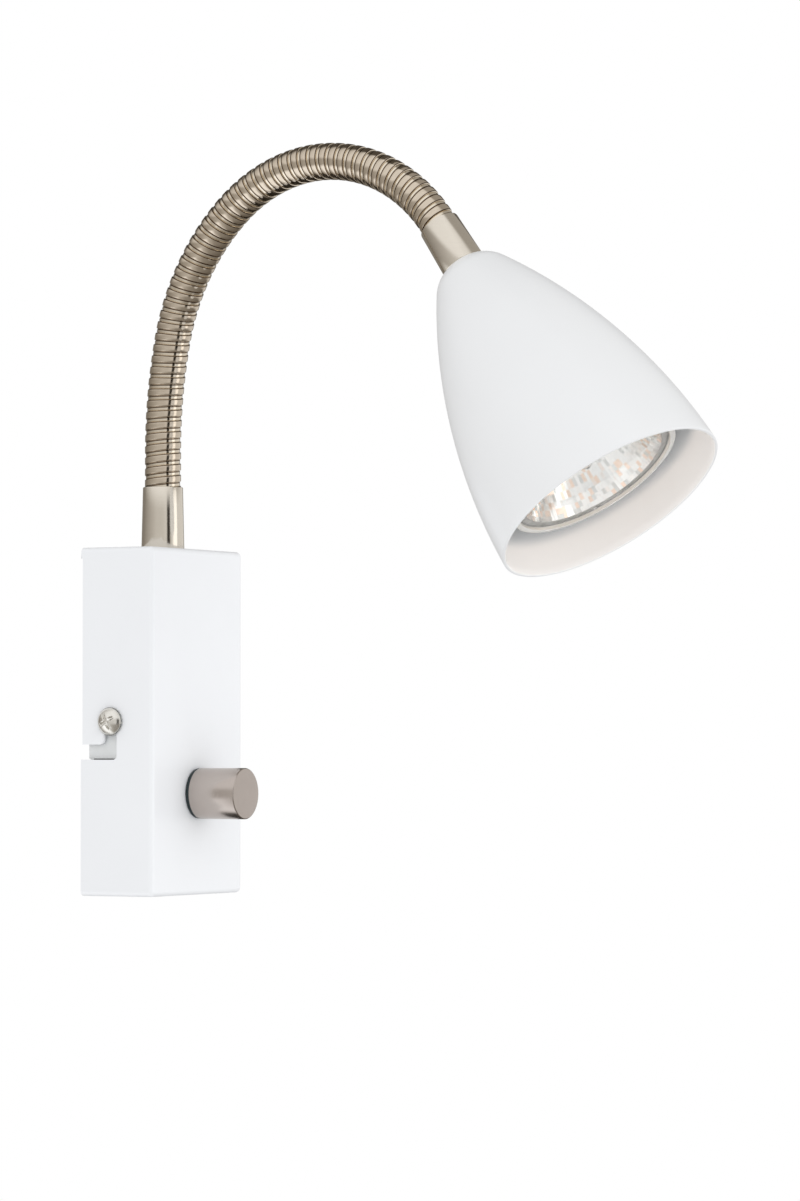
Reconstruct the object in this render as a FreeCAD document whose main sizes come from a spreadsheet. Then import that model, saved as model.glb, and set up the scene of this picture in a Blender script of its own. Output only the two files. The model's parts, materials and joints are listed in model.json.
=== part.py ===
"""Bedside wall reading lamp: a white steel wall box with a rotary dimmer, a ribbed bendable neck
and a spun steel shade with a mains-voltage reflector bulb.

Frame: millimetres, +Z up, +Y into the wall, origin at the middle of the wall face of the box.
The neck leaves the top of the box, bends over in one upright plane and carries the shade.
The head pieces are drawn in a frame of their own: origin where the shade meets its ferrule,
+Z back along the neck, so the mouth of the shade looks along -Z.
"""
import FreeCAD
import Part
import Sketcher
import math
import os

Vector = FreeCAD.Vector
doc = FreeCAD.newDocument("bedside_lamp")

# ---------------------------------------------------------------- driving dimensions
SIZES = {
    # wall box
    "cover_width": 49.0, "cover_height": 97.0, "cover_depth": 23.3, "cover_wall": 1.0,
    "cover_edge": 1.5, "cover_fit": 0.4, "rear_relief": 0.5,
    "slot_width": 4.0, "slot_drop": 8.5, "slot_rise": 2.1, "slot_corner": 1.2, "slot_throat": 1.6,
    "screw_inset": 9.7,
    # wall bracket
    "bracket_gap": 2.5, "bracket_sheet": 1.2, "tab_height": 20.6, "tab_neck": 8.0,
    "tab_reach": 14.5, "tab_standoff": 1.85, "tab_notch": 3.6,
    "wall_slot_margin": 7.0, "wall_slot_width": 4.5, "wall_slot_length": 9.0,
    "cable_hole": 12.0, "earth_across": 15.0, "earth_gap": 4.6, "earth_hole": 4.0,
    # screws of the cover
    "cover_screw_thread": 3.9, "cover_screw_length": 6.0, "cover_screw_head": 7.8,
    "cover_screw_dome": 2.3, "drive_width": 1.0, "drive_span": 4.4, "drive_depth": 1.3,
    "lock_washer_outer": 7.9, "lock_washer_hole": 4.3, "lock_washer_sheet": 0.6,
    "lock_washer_teeth": 18, "tooth_depth": 0.7,
    # cable grommet
    "grommet_flange": 16.0, "grommet_lip": 1.3, "grommet_bore": 8.0,
    # rotary dimmer
    "knob_drop": 20.1, "pot_side": 17.0, "pot_depth": 7.5, "bushing_thread": 7.9,
    "bushing_length": 5.0, "bushing_flange": 11.0, "bushing_flange_sheet": 0.5,
    "bushing_clearance": 0.2, "shaft_diameter": 6.0, "shaft_running_fit": 0.05,
    "shaft_seat": 5.0, "shaft_reach": 13.0, "dimmer_washer_outer": 11.4,
    "dimmer_washer_sheet": 0.5, "dimmer_nut_flats": 10.0, "dimmer_nut_height": 2.0,
    "board_width": 34.0, "board_height": 27.0, "board_sheet": 1.6, "board_drop": 20.0,
    "triac_width": 10.2, "triac_height": 9.0, "triac_body": 4.4, "triac_tab": 14.0,
    "triac_tab_sheet": 1.3, "choke_outer": 14.0, "choke_inner": 6.5, "choke_height": 7.0,
    "choke_across": 7.5, "choke_drop": 4.5, "triac_across": 11.4, "capacitor_across": 8.5,
    "capacitor_drop": 7.4,
    "capacitor_width": 13.0, "capacitor_height": 10.0, "capacitor_depth": 6.5,
    # knob
    "knob_diameter": 14.3, "knob_gap": 1.2, "knob_length": 14.4, "knob_wall": 0.5,
    "knob_face": 1.2, "knob_chamfer": 0.25, "insert_collar": 13.5, "insert_gap": 0.35,
    "insert_recess": 12.3, "insert_recess_depth": 4.2, "shaft_grip": 0.02,
    # terminal block and its wiring
    "terminal_width": 27.0, "terminal_height": 15.0, "terminal_depth": 11.5, "terminal_up": 18.0,
    "terminal_pole": 8.6, "terminal_well": 4.4, "terminal_well_depth": 6.0,
    "terminal_port": 3.6, "terminal_screw_head": 3.8, "wire_diameter": 1.9, "wire_bend": 4.0,
    "wire_spread": 8.6, "wire_entry": 3.0,
    # neck fittings
    "ferrule_base": 12.1, "ferrule_tip": 11.3, "lower_ferrule_length": 17.7,
    "upper_ferrule_length": 14.3, "hose_seat": 9.4, "hose_fit": 0.05, "nipple_thread": 7.9,
    "nipple_bore": 5.6, "nipple_gap": 0.2, "thread_clearance": 0.2, "lower_nipple_drop": 7.2,
    "neck_nut_flats": 11.0, "neck_nut_height": 3.0, "tooth_washer_outer": 11.4,
    "tooth_washer_sheet": 0.8, "tooth_washer_teeth": 12,
    # ribbed neck
    "neck_yaw": -7.0, "neck_pitch": 3.146, "neck_band": 10.2, "neck_groove": 9.4,
    "neck_groove_width": 1.14, "groove_slope": 0.08, "neck_bore": 6.6,
    "neck_rise": 10.2, "bend_low_radius": 147.0, "bend_low_turn": 12.1,
    "bend_mid_radius": 64.3, "bend_mid_turn": 38.3, "bend_top_radius": 48.4,
    "bend_top_turn": 94.0, "end_ribs": 2, "link_ribs": 4, "links": 12,
    "nose_diameter": 8.8, "nose_reach": 1.0, "socket_clearance": 0.12,
    "lead_diameter": 4.4, "lead_tail": 1.2, "lead_gap": 0.3,
    # shade
    "shade_length": 80.5, "mouth_radius": 32.5, "mouth_slope": 1.7, "crown_slope": 65.9,
    "shoulder_radius": 10.6, "crown_radius": 6.1, "shade_wall": 0.9,
    # lamp holder and its bracket
    "strap_width": 12.0, "strap_crown": 15.2, "strap_splay": 6.4, "strap_span": 20.4, "strap_sheet": 1.0, "strap_leg": 12.5,
    "holder_screw_thread": 2.9, "holder_screw_length": 4.5, "holder_screw_head": 5.2,
    "holder_screw_dome": 1.6, "holder_screw_drop": 9.4, "holder_radius": 12.4,
    "holder_skirt": 7.6, "holder_neck_height": 7.2, "pin_chamber": 5.8, "pin_chamber_depth": 8.2,
    # bulb
    "holder_drop": 2.9, "bulb_face": 50.0, "bulb_rim": 3.2, "bulb_bead": 1.0,
    "bulb_opening": 41.8, "bulb_depth": 28.0, "bulb_neck": 22.0, "bulb_shell": 1.6,
    "glass_diameter": 46.0, "glass_sheet": 1.2, "glass_recess": 0.6,
    "base_length": 17.0, "base_tip": 17.0, "base_gap": 0.4, "pin_spacing": 10.0,
    "pin_shank": 3.0, "pin_head": 5.0, "pin_head_height": 2.2, "pin_length": 6.8,
    "capsule_diameter": 9.0, "capsule_length": 21.0, "capsule_tip": 3.0,
}
sheet = doc.addObject("Spreadsheet::Sheet", "sizes")
for row, (alias, number) in enumerate(SIZES.items(), start=1):
    sheet.set(f"A{row}", alias)
    sheet.set(f"B{row}", str(number))
    sheet.setAlias(f"B{row}", alias)
# sizes that follow from the driving ones: the bracket fits the cover, and the long arc of the shade
# is the one that leaves the mouth at its slope and runs into the shoulder without a corner
DERIVED = {
    "bracket_height": "cover_height - 2 * (cover_wall + bracket_gap)",
    "wall_slot_spacing": "bracket_height - 2 * wall_slot_margin",
    "shoulder_across": "crown_radius - shoulder_radius * cos(crown_slope * 1 deg)",
    "shoulder_up": "-shoulder_radius * sin(crown_slope * 1 deg)",
    "mouth_offset": "mouth_radius - shoulder_across",
    "mouth_drop": "-shade_length - shoulder_up",
    "shade_body_radius": "(mouth_offset ^ 2 + mouth_drop ^ 2 - shoulder_radius ^ 2)"
                         " / (2 * (mouth_offset * cos(mouth_slope * 1 deg)"
                         " + mouth_drop * sin(mouth_slope * 1 deg) - shoulder_radius))",
}
for row, (alias, formula) in enumerate(DERIVED.items(), start=len(SIZES) + 1):
    sheet.set(f"A{row}", alias)
    sheet.set(f"B{row}", "=" + formula)
    sheet.setAlias(f"B{row}", alias)
    doc.recompute()


def size(alias):
    """A driving dimension, read from the sheet."""
    return float(sheet.get(alias))


def half(expression):
    return f"({expression}) / 2"


# ---------------------------------------------------------------- drawing helpers
NODES = []


def keep(feature, label):
    """Give a finished object its node name and list it for export."""
    feature.Label = label
    NODES.append(feature)
    return feature


def new_body(label):
    return keep(doc.addObject("PartDesign::Body", label), label)


def sketch_on(body, role, offset=None):
    """A sketch on one of the body's own origin planes, moved along the plane's normal."""
    drawing = body.newObject("Sketcher::SketchObject", body.Name + "_sketch")
    plane = next(item for item in body.Origin.OriginFeatures if item.Role == role)
    drawing.AttachmentSupport = [(plane, "")]
    drawing.MapMode = "FlatFace"
    if offset is not None:
        drawing.setExpression("AttachmentOffset.Base.z", offset)
    return drawing


def bind(drawing, constraint, expression):
    """Add a driving constraint and tie it to an expression on the sheet."""
    index = drawing.addConstraint(constraint)
    drawing.setExpression(f"Constraints[{index}]", expression)


def pin_point(drawing, geometry, point, across, up):
    """Hold one point of a sketch at a place given by two expressions."""
    x, y = drawing.evalExpression(across), drawing.evalExpression(up)
    bind(drawing, Sketcher.Constraint("DistanceX", -1, 1, geometry, point, float(x)), across)
    bind(drawing, Sketcher.Constraint("DistanceY", -1, 1, geometry, point, float(y)), up)


def outline(drawing, corners):
    """A closed outline. A corner is (across, up), or (across, up, radius, side) where the edge
    that leaves it is an arc: side +1 bulges to the left of the way forward, -1 to the right."""
    first = drawing.GeometryCount
    count = len(corners)
    places = [Vector(float(drawing.evalExpression(corner[0])),
                     float(drawing.evalExpression(corner[1])), 0) for corner in corners]
    ends = []
    for index, corner in enumerate(corners):
        start, end = places[index], places[(index + 1) % count]
        if len(corner) == 2:
            drawing.addGeometry(Part.LineSegment(start, end), False)
            ends.append((1, 2))
            continue
        radius, side = float(drawing.evalExpression(corner[2])), corner[3]
        chord = end - start
        left = Vector(-chord.y, chord.x, 0).normalize()
        sag = math.sqrt(max(radius ** 2 - (chord.Length / 2) ** 2, 0))
        middle = (start + end) * 0.5 - left * side * sag
        # an arc always runs counter-clockwise, so one that bulges left starts at its far end
        spans = [math.atan2(spot.y - middle.y, spot.x - middle.x) for spot in (start, end)]
        if side > 0:
            spans.reverse()
        ring = Part.Circle(middle, Vector(0, 0, 1), radius)
        drawing.addGeometry(Part.ArcOfCircle(ring, *spans), False)
        ends.append((2, 1) if side > 0 else (1, 2))
    for index, corner in enumerate(corners):
        after = (index + 1) % count
        curved = len(corner) == 4
        radius = float(drawing.evalExpression(corner[2])) if curved else 0.0
        # a half circle is held by running into the next edge, any other arc by its radius
        half_round = curved and abs(
            places[index].distanceToPoint(places[after]) - 2 * radius) < 1e-6
        drawing.addConstraint(Sketcher.Constraint(
            "Tangent" if half_round else "Coincident",
            first + index, ends[index][1], first + after, ends[after][0]))
        pin_point(drawing, first + index, ends[index][0], corner[0], corner[1])
        if curved and not half_round:
            bind(drawing, Sketcher.Constraint("Radius", first + index, radius), corner[2])


def circle(drawing, across, up, diameter):
    """A circle held by its middle and its diameter."""
    x, y, wide = (float(drawing.evalExpression(e)) for e in (across, up, diameter))
    index = drawing.addGeometry(Part.Circle(Vector(x, y, 0), Vector(0, 0, 1), wide / 2), False)
    pin_point(drawing, index, 3, across, up)
    bind(drawing, Sketcher.Constraint("Diameter", index, wide), diameter)


def rectangle(drawing, left, low, right, high):
    outline(drawing, [(left, low), (right, low), (right, high), (left, high)])


def pad(body, drawing, length, reverse=False, middle=False):
    feature = body.newObject("PartDesign::Pad", body.Name + "_pad")
    feature.Profile = drawing
    feature.setExpression("Length", length)
    feature.Reversed = reverse
    feature.Midplane = middle
    doc.recompute()
    return feature


def pocket(body, drawing, length=None, reverse=False, middle=False):
    """Cut a sketch into the body, all the way through if no length is given."""
    before = body.Tip.Shape.Volume
    feature = body.newObject("PartDesign::Pocket", body.Name + "_pocket")
    feature.Profile = drawing
    feature.Reversed = reverse
    feature.Midplane = middle
    if length is None:
        feature.Type = 1
    else:
        feature.setExpression("Length", length)
    doc.recompute()
    if feature.Shape.Volume >= before - 1e-6:
        raise RuntimeError(body.Name + ": a pocket cuts nothing")
    return feature


def fillet_where(body, radius, test):
    """Round the edges of the tip whose middle and direction pass a test."""
    tip = body.Tip
    names = []
    for index, edge in enumerate(tip.Shape.Edges, start=1):
        middle = edge.valueAt((edge.FirstParameter + edge.LastParameter) / 2)
        if test(middle, edge):
            names.append(f"Edge{index}")
    feature = body.newObject("PartDesign::Fillet", body.Name + "_fillet")
    feature.Base = (tip, names)
    feature.setExpression("Radius", radius)
    doc.recompute()
    return feature


def turned(label, corners):
    """A turned piece: a closed half section (radius, height) spun about the piece's Z axis."""
    body = new_body(label)
    drawing = sketch_on(body, "XZ_Plane")
    outline(drawing, corners)
    feature = body.newObject("PartDesign::Revolution", body.Name + "_turn")
    feature.Profile = drawing
    feature.ReferenceAxis = (drawing, ["V_Axis"])
    feature.Angle = 360.0
    doc.recompute()
    return body


def hexagon_nut(label, flats, height, hole):
    """A hexagon nut standing on its lower face, with a round hole."""
    body = new_body(label)
    drawing = sketch_on(body, "XY_Plane")
    outline(drawing, [(f"({flats}) / sqrt(3) * cos({60 * k} deg)",
                       f"({flats}) / sqrt(3) * sin({60 * k} deg)") for k in range(6)])
    circle(drawing, "0", "0", hole)
    pad(body, drawing, height)
    return body


def place(item, x="0", y="0", z="0", rotation=None):
    """Put a piece at a place bound to the sheet."""
    if rotation is not None:
        item.Placement = FreeCAD.Placement(Vector(0, 0, 0), rotation)
    for axis, expression in (("x", x), ("y", y), ("z", z)):
        if expression != "0":
            item.setExpression("Placement.Base." + axis, expression)


FACE_OUT = FreeCAD.Rotation(Vector(1, 0, 0), 90)     # a piece's +Z looks out of the wall
UPSIDE_DOWN = FreeCAD.Rotation(Vector(1, 0, 0), 180)


def primitive(kind, name, x="0", y="0", z="0", rotation=None, **lengths):
    """A Part primitive whose lengths and place are bound to the sheet."""
    item = doc.addObject("Part::" + kind, name)
    for prop, expression in lengths.items():
        item.setExpression(prop, expression)
    place(item, x, y, z, rotation)
    return item


def joined(name, kind, pieces):
    """Fuse or gather pieces into one object."""
    item = doc.addObject("Part::" + kind, name)
    if kind == "Compound":
        item.Links = pieces
    elif kind == "MultiFuse":
        item.Shapes = pieces
    return item


def cut(name, base, tool):
    item = doc.addObject("Part::Cut", name)
    item.Base, item.Tool = base, tool
    return item


def mirrored(name, source):
    """The same piece on the other side of the lamp's upright middle plane."""
    item = doc.addObject("Part::Mirroring", name)
    item.Source = source
    item.Normal = Vector(1, 0, 0)
    return item


# ---------------------------------------------------------------- places used more than once
SIDE = half("sizes.cover_width")
TOP = half("sizes.cover_height")
FRONT = "-sizes.cover_depth"
FERRULE_Y = "-sizes.cover_depth / 2"
KNOB_Z = "-sizes.knob_drop"
SCREW_Y = "-sizes.screw_inset"
BRACKET_SIDE = f"({SIDE} - sizes.cover_wall - sizes.cover_fit)"
EARTH_Z = f"(sizes.terminal_up + {half('sizes.terminal_height')} + sizes.earth_gap)"


# ---------------------------------------------------------------- wall box
def build_cover():
    """The folded steel cover: open at the back, a hole for the neck and one for the dimmer, and
    an L-shaped slot in each side that drops over the bracket's screws."""
    body = new_body("cover")
    drawing = sketch_on(body, "XZ_Plane")
    rectangle(drawing, f"-{SIDE}", f"-{TOP}", SIDE, TOP)
    depth = size("cover_depth")
    pad(body, drawing, "sizes.cover_depth")
    fillet_where(body, "sizes.cover_edge", lambda middle, edge: middle.y < -1e-3)
    inside = sketch_on(body, "XZ_Plane")
    inner_side, inner_top = f"({SIDE} - sizes.cover_wall)", f"({TOP} - sizes.cover_wall)"
    rectangle(inside, f"-{inner_side}", f"-{inner_top}", inner_side, inner_top)
    pocket(body, inside, "sizes.cover_depth - sizes.cover_wall", reverse=True)
    inner_x, inner_z = size("cover_width") / 2 - size("cover_wall"), (
        size("cover_height") / 2 - size("cover_wall"))
    fillet_where(body, "sizes.cover_edge - sizes.cover_wall", lambda middle, edge: (
        -depth + 0.1 < middle.y < -1e-3 and abs(middle.x) < inner_x + 1e-3
        and abs(middle.z) < inner_z + 1e-3))
    neck_hole = sketch_on(body, "XY_Plane", TOP)
    circle(neck_hole, "0", FERRULE_Y, "sizes.nipple_thread + 2 * sizes.thread_clearance")
    pocket(body, neck_hole, "2 * sizes.cover_wall")
    dimmer_hole = sketch_on(body, "XZ_Plane", "sizes.cover_depth")
    circle(dimmer_hole, "0", KNOB_Z, "sizes.bushing_thread + 2 * sizes.bushing_clearance")
    pocket(body, dimmer_hole, "2 * sizes.cover_wall")
    slots = sketch_on(body, "YZ_Plane")
    leg_front = f"{SCREW_Y} - sizes.slot_width / 2"
    leg_back = f"{SCREW_Y} + sizes.slot_width / 2"
    low = "-sizes.slot_drop - sizes.slot_rise"
    step = f"{low} + sizes.slot_width + 0.2"
    outline(slots, [
        (leg_front, "0", "sizes.slot_width / 2", 1),
        (leg_back, "0"),
        (leg_back, f"{step} + sizes.slot_throat", "sizes.slot_throat", -1),
        (f"{leg_back} + sizes.slot_throat", step),
        ("1", step),
        ("1", low),
        (f"{leg_front} + sizes.slot_corner", low, "sizes.slot_corner", 1),
        (leg_front, f"{low} + sizes.slot_corner"),
    ])
    pocket(body, slots, "2 * sizes.cover_width", middle=True)
    relief = sketch_on(body, "YZ_Plane")
    rectangle(relief, "-sizes.rear_relief", step, "1", f"{TOP} - 2 * sizes.cover_edge")
    pocket(body, relief, "2 * sizes.cover_width", middle=True)
    return depth


def build_bracket():
    """The galvanised wall bracket: a back plate with two wall slots, a cable hole and an earth
    hole, and a tab bent forward at each side that takes a cover screw."""
    body = new_body("wall_bracket")
    plate = sketch_on(body, "XZ_Plane")
    rectangle(plate, f"-{BRACKET_SIDE}", "-sizes.bracket_height / 2",
              BRACKET_SIDE, "sizes.bracket_height / 2")
    pad(body, plate, "sizes.bracket_sheet")
    for side in ("-", ""):
        tab = sketch_on(body, "YZ_Plane", f"{side}({BRACKET_SIDE} - sizes.bracket_sheet / 2)")
        rectangle(tab, "-sizes.tab_reach", "-sizes.tab_height / 2", "0", "sizes.tab_height / 2")
        pad(body, tab, "sizes.bracket_sheet", middle=True)
    fillet_where(body, "sizes.bracket_sheet * 0.8", lambda middle, edge: (
        abs(middle.y) < 1e-3 and abs(abs(middle.x) - size("cover_width") / 2 + size("cover_wall")
                                     + size("cover_fit")) < 1e-3))
    # the bend is relieved above and below the short neck of each tab
    for low, high in (("-sizes.tab_height / 2 - 1", "-sizes.tab_neck / 2"),
                      ("sizes.tab_neck / 2", "sizes.tab_height / 2 + 1")):
        for side in ("-", ""):
            notch = sketch_on(body, "XZ_Plane")
            inner = f"{side}({BRACKET_SIDE} - sizes.tab_notch)"
            outer = f"{side}({BRACKET_SIDE} + 1)"
            rectangle(notch, inner, low, outer, high)
            pocket(body, notch, "sizes.tab_standoff", reverse=True)
    holes = sketch_on(body, "YZ_Plane")
    circle(holes, SCREW_Y, "0", "sizes.cover_screw_thread")
    pocket(body, holes, "2 * sizes.cover_width", middle=True)
    for sign in ("-", ""):
        slot = sketch_on(body, "XZ_Plane")
        radius = "sizes.wall_slot_width / 2"
        reach = "(sizes.wall_slot_length - sizes.wall_slot_width) / 2"
        centre = f"{sign}sizes.wall_slot_spacing / 2"
        outline(slot, [
            (f"-{radius}", f"{centre} - {reach}", radius, -1),
            (radius, f"{centre} - {reach}"),
            (radius, f"{centre} + {reach}", radius, -1),
            (f"-{radius}", f"{centre} + {reach}"),
        ])
        pocket(body, slot, "3 * sizes.bracket_sheet", middle=True)
    round_holes = sketch_on(body, "XZ_Plane")
    circle(round_holes, "0", "0", "sizes.cable_hole")
    circle(round_holes, "sizes.earth_across", EARTH_Z, "sizes.earth_hole")
    pocket(body, round_holes, "3 * sizes.bracket_sheet", middle=True)


def toothed_ring(name, outer, hole, thickness, teeth, depth):
    """A lock washer whose rim is cut into teeth; it lies on its lower face."""
    corners = []
    for index in range(teeth):
        for part, radius in ((0.0, outer / 2), (0.45, outer / 2), (0.5, outer / 2 - depth),
                             (0.95, outer / 2 - depth)):
            angle = 2 * math.pi * (index + part) / teeth
            corners.append(Vector(radius * math.cos(angle), radius * math.sin(angle), 0))
    rim = Part.Face(Part.makePolygon(corners + corners[:1]))
    bore = Part.Face(Part.Wire(Part.makeCircle(hole / 2)))
    item = doc.addObject("Part::Feature", name)
    item.Shape = rim.cut(bore).extrude(Vector(0, 0, thickness))
    return item


def pan_screw(name, thread, length, head, dome, drive=True):
    """A pan head screw: the head's underside lies at z = 0 and the thread hangs down."""
    shank = primitive("Cylinder", name + "_shank", z=f"-({length})",
                      Radius=half(thread), Height=f"({length}) + 0.1")
    rise = f"({dome})"
    ball = f"(({head}) ^ 2 / 4 + {rise} ^ 2) / (2 * {rise})"
    sphere = primitive("Sphere", name + "_sphere", z=f"{rise} - {ball}", Radius=ball)
    disc = primitive("Cylinder", name + "_disc", Radius=half(head), Height=dome)
    dome_head = doc.addObject("Part::MultiCommon", name + "_dome")
    dome_head.Shapes = [sphere, disc]
    whole = joined(name + "_whole", "MultiFuse", [dome_head, shank])
    if not drive:
        return whole
    bars = []
    for turn in (0, 90):
        bar = primitive("Box", f"{name}_bar_{turn}", Length="sizes.drive_span",
                        Width="sizes.drive_width", Height="sizes.drive_depth + 1")
        spin = FreeCAD.Rotation(Vector(0, 0, 1), turn + 28)
        corner = Vector(-size("drive_span") / 2, -size("drive_width") / 2, 0)
        bar.Placement = FreeCAD.Placement(spin.multVec(corner), spin)
        bar.setExpression("Placement.Base.z", f"{dome} - sizes.drive_depth")
        bars.append(bar)
    cross = joined(name + "_cross", "MultiFuse", bars)
    return cut(name + "_driven", whole, cross)


SIDE_OUT = FreeCAD.Rotation(Vector(0, 0, 1), Vector(-1, 0, 0))   # +Z looks out of the left side


def build_cover_screws():
    """One screw and one toothed washer in each side tab, outside the cover."""
    washer = toothed_ring("left_lock_washer", size("lock_washer_outer"), size("lock_washer_hole"),
                          size("lock_washer_sheet"), int(size("lock_washer_teeth")),
                          size("tooth_depth"))
    place(washer, f"-{SIDE}", SCREW_Y, "0", SIDE_OUT)
    keep(joined("cover_lock_washers", "Compound", [washer, mirrored("right_washer", washer)]),
         "cover_lock_washers")
    screw = pan_screw("left_cover_screw", "sizes.cover_screw_thread", "sizes.cover_screw_length",
                      "sizes.cover_screw_head", "sizes.cover_screw_dome")
    place(screw, f"-{SIDE} - sizes.lock_washer_sheet", SCREW_Y, "0", SIDE_OUT)
    keep(joined("cover_screws", "Compound", [screw, mirrored("right_screw", screw)]),
         "cover_screws")


def build_grommet():
    """The soft grommet that lines the cable hole of the bracket."""
    lip, flange, bore = "sizes.grommet_lip", half("sizes.grommet_flange"), half("sizes.grommet_bore")
    groove = half("sizes.cable_hole")
    back, front = "0", "sizes.bracket_sheet"
    body = turned("cable_grommet", [
        (bore, back), (groove, back), (groove, front), (flange, front),
        (flange, f"{front} + {lip}"), (bore, f"{front} + {lip}")])
    place(body, rotation=FACE_OUT)


def build_dimmer():
    """The dimmer: a potentiometer nutted into the cover's front, its board and what is on it."""
    inner_front = f"({FRONT} + sizes.cover_wall)"
    pot = new_body("dimmer_potentiometer")
    case = sketch_on(pot, "XY_Plane")
    side = half("sizes.pot_side")
    rectangle(case, f"-{side}", f"-{side}", side, side)
    pad(pot, case, "sizes.pot_depth", reverse=True)
    fillet_where(pot, "1", lambda middle, edge: abs(middle.x) > 1 and abs(middle.y) > 1)
    shaft_well = sketch_on(pot, "XY_Plane")
    circle(shaft_well, "0", "0", "sizes.shaft_diameter + 2 * sizes.shaft_running_fit")
    pocket(pot, shaft_well, "sizes.shaft_seat")
    pot_front = f"({inner_front} + sizes.bushing_flange_sheet)"
    place(pot, "0", pot_front, KNOB_Z, FACE_OUT)

    bore = "sizes.shaft_diameter / 2 + sizes.shaft_running_fit"
    thread = half("sizes.bushing_thread")
    bushing = turned("dimmer_bushing", [
        (bore, "0"), (half("sizes.bushing_flange"), "0"),
        (half("sizes.bushing_flange"), "sizes.bushing_flange_sheet"),
        (thread, "sizes.bushing_flange_sheet"), (thread, "sizes.bushing_length"),
        (bore, "sizes.bushing_length")])
    place(bushing, "0", pot_front, KNOB_Z, FACE_OUT)

    washer = turned("dimmer_washer", [
        (f"{thread} + sizes.bushing_clearance", "0"), (half("sizes.dimmer_washer_outer"), "0"),
        (half("sizes.dimmer_washer_outer"), "sizes.dimmer_washer_sheet"),
        (f"{thread} + sizes.bushing_clearance", "sizes.dimmer_washer_sheet")])
    place(washer, "0", FRONT, KNOB_Z, FACE_OUT)
    nut = hexagon_nut("dimmer_nut", "sizes.dimmer_nut_flats", "sizes.dimmer_nut_height",
                      "sizes.bushing_thread + 0.02")
    place(nut, "0", f"{FRONT} - sizes.dimmer_washer_sheet", KNOB_Z, FACE_OUT)

    shaft = turned("dimmer_shaft", [
        ("0", "0.2 - sizes.shaft_seat"), (half("sizes.shaft_diameter"), "0.2 - sizes.shaft_seat"),
        (half("sizes.shaft_diameter"), "sizes.shaft_reach + sizes.cover_wall"),
        ("0", "sizes.shaft_reach + sizes.cover_wall")])
    place(shaft, "0", pot_front, KNOB_Z, FACE_OUT)

    board = new_body("dimmer_board")
    plate = sketch_on(board, "XY_Plane")
    wide, high = half("sizes.board_width"), half("sizes.board_height")
    rectangle(plate, f"-{wide}", f"-{high}", wide, high)
    pad(board, plate, "sizes.board_sheet", reverse=True)
    board_front = f"({pot_front} + sizes.pot_depth)"
    place(board, "0", board_front, "-sizes.board_drop", FACE_OUT)
    board_back = f"({board_front} + sizes.board_sheet)"

    tab = primitive("Box", "triac_tab", x="-sizes.triac_width / 2 - sizes.triac_across",
                    y=board_back, z="-sizes.board_drop - 2",
                    Length="sizes.triac_width", Width="sizes.triac_tab_sheet",
                    Height="sizes.triac_tab")
    block = primitive("Box", "triac_block", x="-sizes.triac_width / 2 - sizes.triac_across",
                      y=board_back, z="-sizes.board_drop - 2",
                      Length="sizes.triac_width", Width="sizes.triac_body",
                      Height="sizes.triac_height")
    keep(joined("dimmer_triac", "MultiFuse", [tab, block]), "dimmer_triac")
    ring = turned("dimmer_choke", [
        (half("sizes.choke_inner"), "0"), (half("sizes.choke_outer"), "0"),
        (half("sizes.choke_outer"), "sizes.choke_height"),
        (half("sizes.choke_inner"), "sizes.choke_height")])
    fillet_where(ring, "1.5", lambda middle, edge: True)
    place(ring, "sizes.choke_across", f"{board_back} + sizes.choke_height",
          "-sizes.board_drop - sizes.choke_drop", FACE_OUT)
    can = new_body("dimmer_capacitor")
    block_sketch = sketch_on(can, "XY_Plane")
    wide, high = half("sizes.capacitor_width"), half("sizes.capacitor_height")
    rectangle(block_sketch, f"-{wide}", f"-{high}", wide, high)
    pad(can, block_sketch, "sizes.capacitor_depth", reverse=True)
    fillet_where(can, "0.8", lambda middle, edge: middle.z < -0.1)
    place(can, "-sizes.capacitor_across", board_back,
          "-sizes.board_drop - sizes.capacitor_drop", FACE_OUT)
    return board_back


def build_knob():
    """The knob: a turned metal cap pressed on a black insert that grips the shaft."""
    length, wall = "sizes.knob_length", "sizes.knob_wall"
    outer = half("sizes.knob_diameter")
    cap = turned("knob_cap", [
        (f"{outer} - {wall}", "0"), (outer, "0"), (outer, f"{length} - sizes.knob_chamfer"),
        (f"{outer} - sizes.knob_chamfer", length), ("0", length),
        ("0", f"{length} - sizes.knob_face"), (f"{outer} - {wall}", f"{length} - sizes.knob_face")])
    place(cap, "0", f"{FRONT} - sizes.knob_gap", KNOB_Z, FACE_OUT)
    collar, bore = half("sizes.insert_collar"), f"{outer} - {wall}"
    back = "sizes.insert_gap"
    rear = "sizes.knob_gap"
    tip = f"sizes.knob_gap + {length} - sizes.knob_face"
    recess = half("sizes.insert_recess")
    floor = f"{back} + sizes.insert_recess_depth"
    grip = "sizes.shaft_diameter / 2 + sizes.shaft_grip"
    shaft_end = ("sizes.shaft_reach + sizes.cover_wall - sizes.bushing_flange_sheet"
                 " - sizes.cover_wall + 0.05")
    insert = turned("knob_insert", [
        (recess, back), (collar, back), (collar, rear), (bore, rear), (bore, tip), ("0", tip),
        ("0", shaft_end), (grip, shaft_end), (grip, floor), (recess, floor)])
    place(insert, "0", FRONT, KNOB_Z, FACE_OUT)


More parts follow.
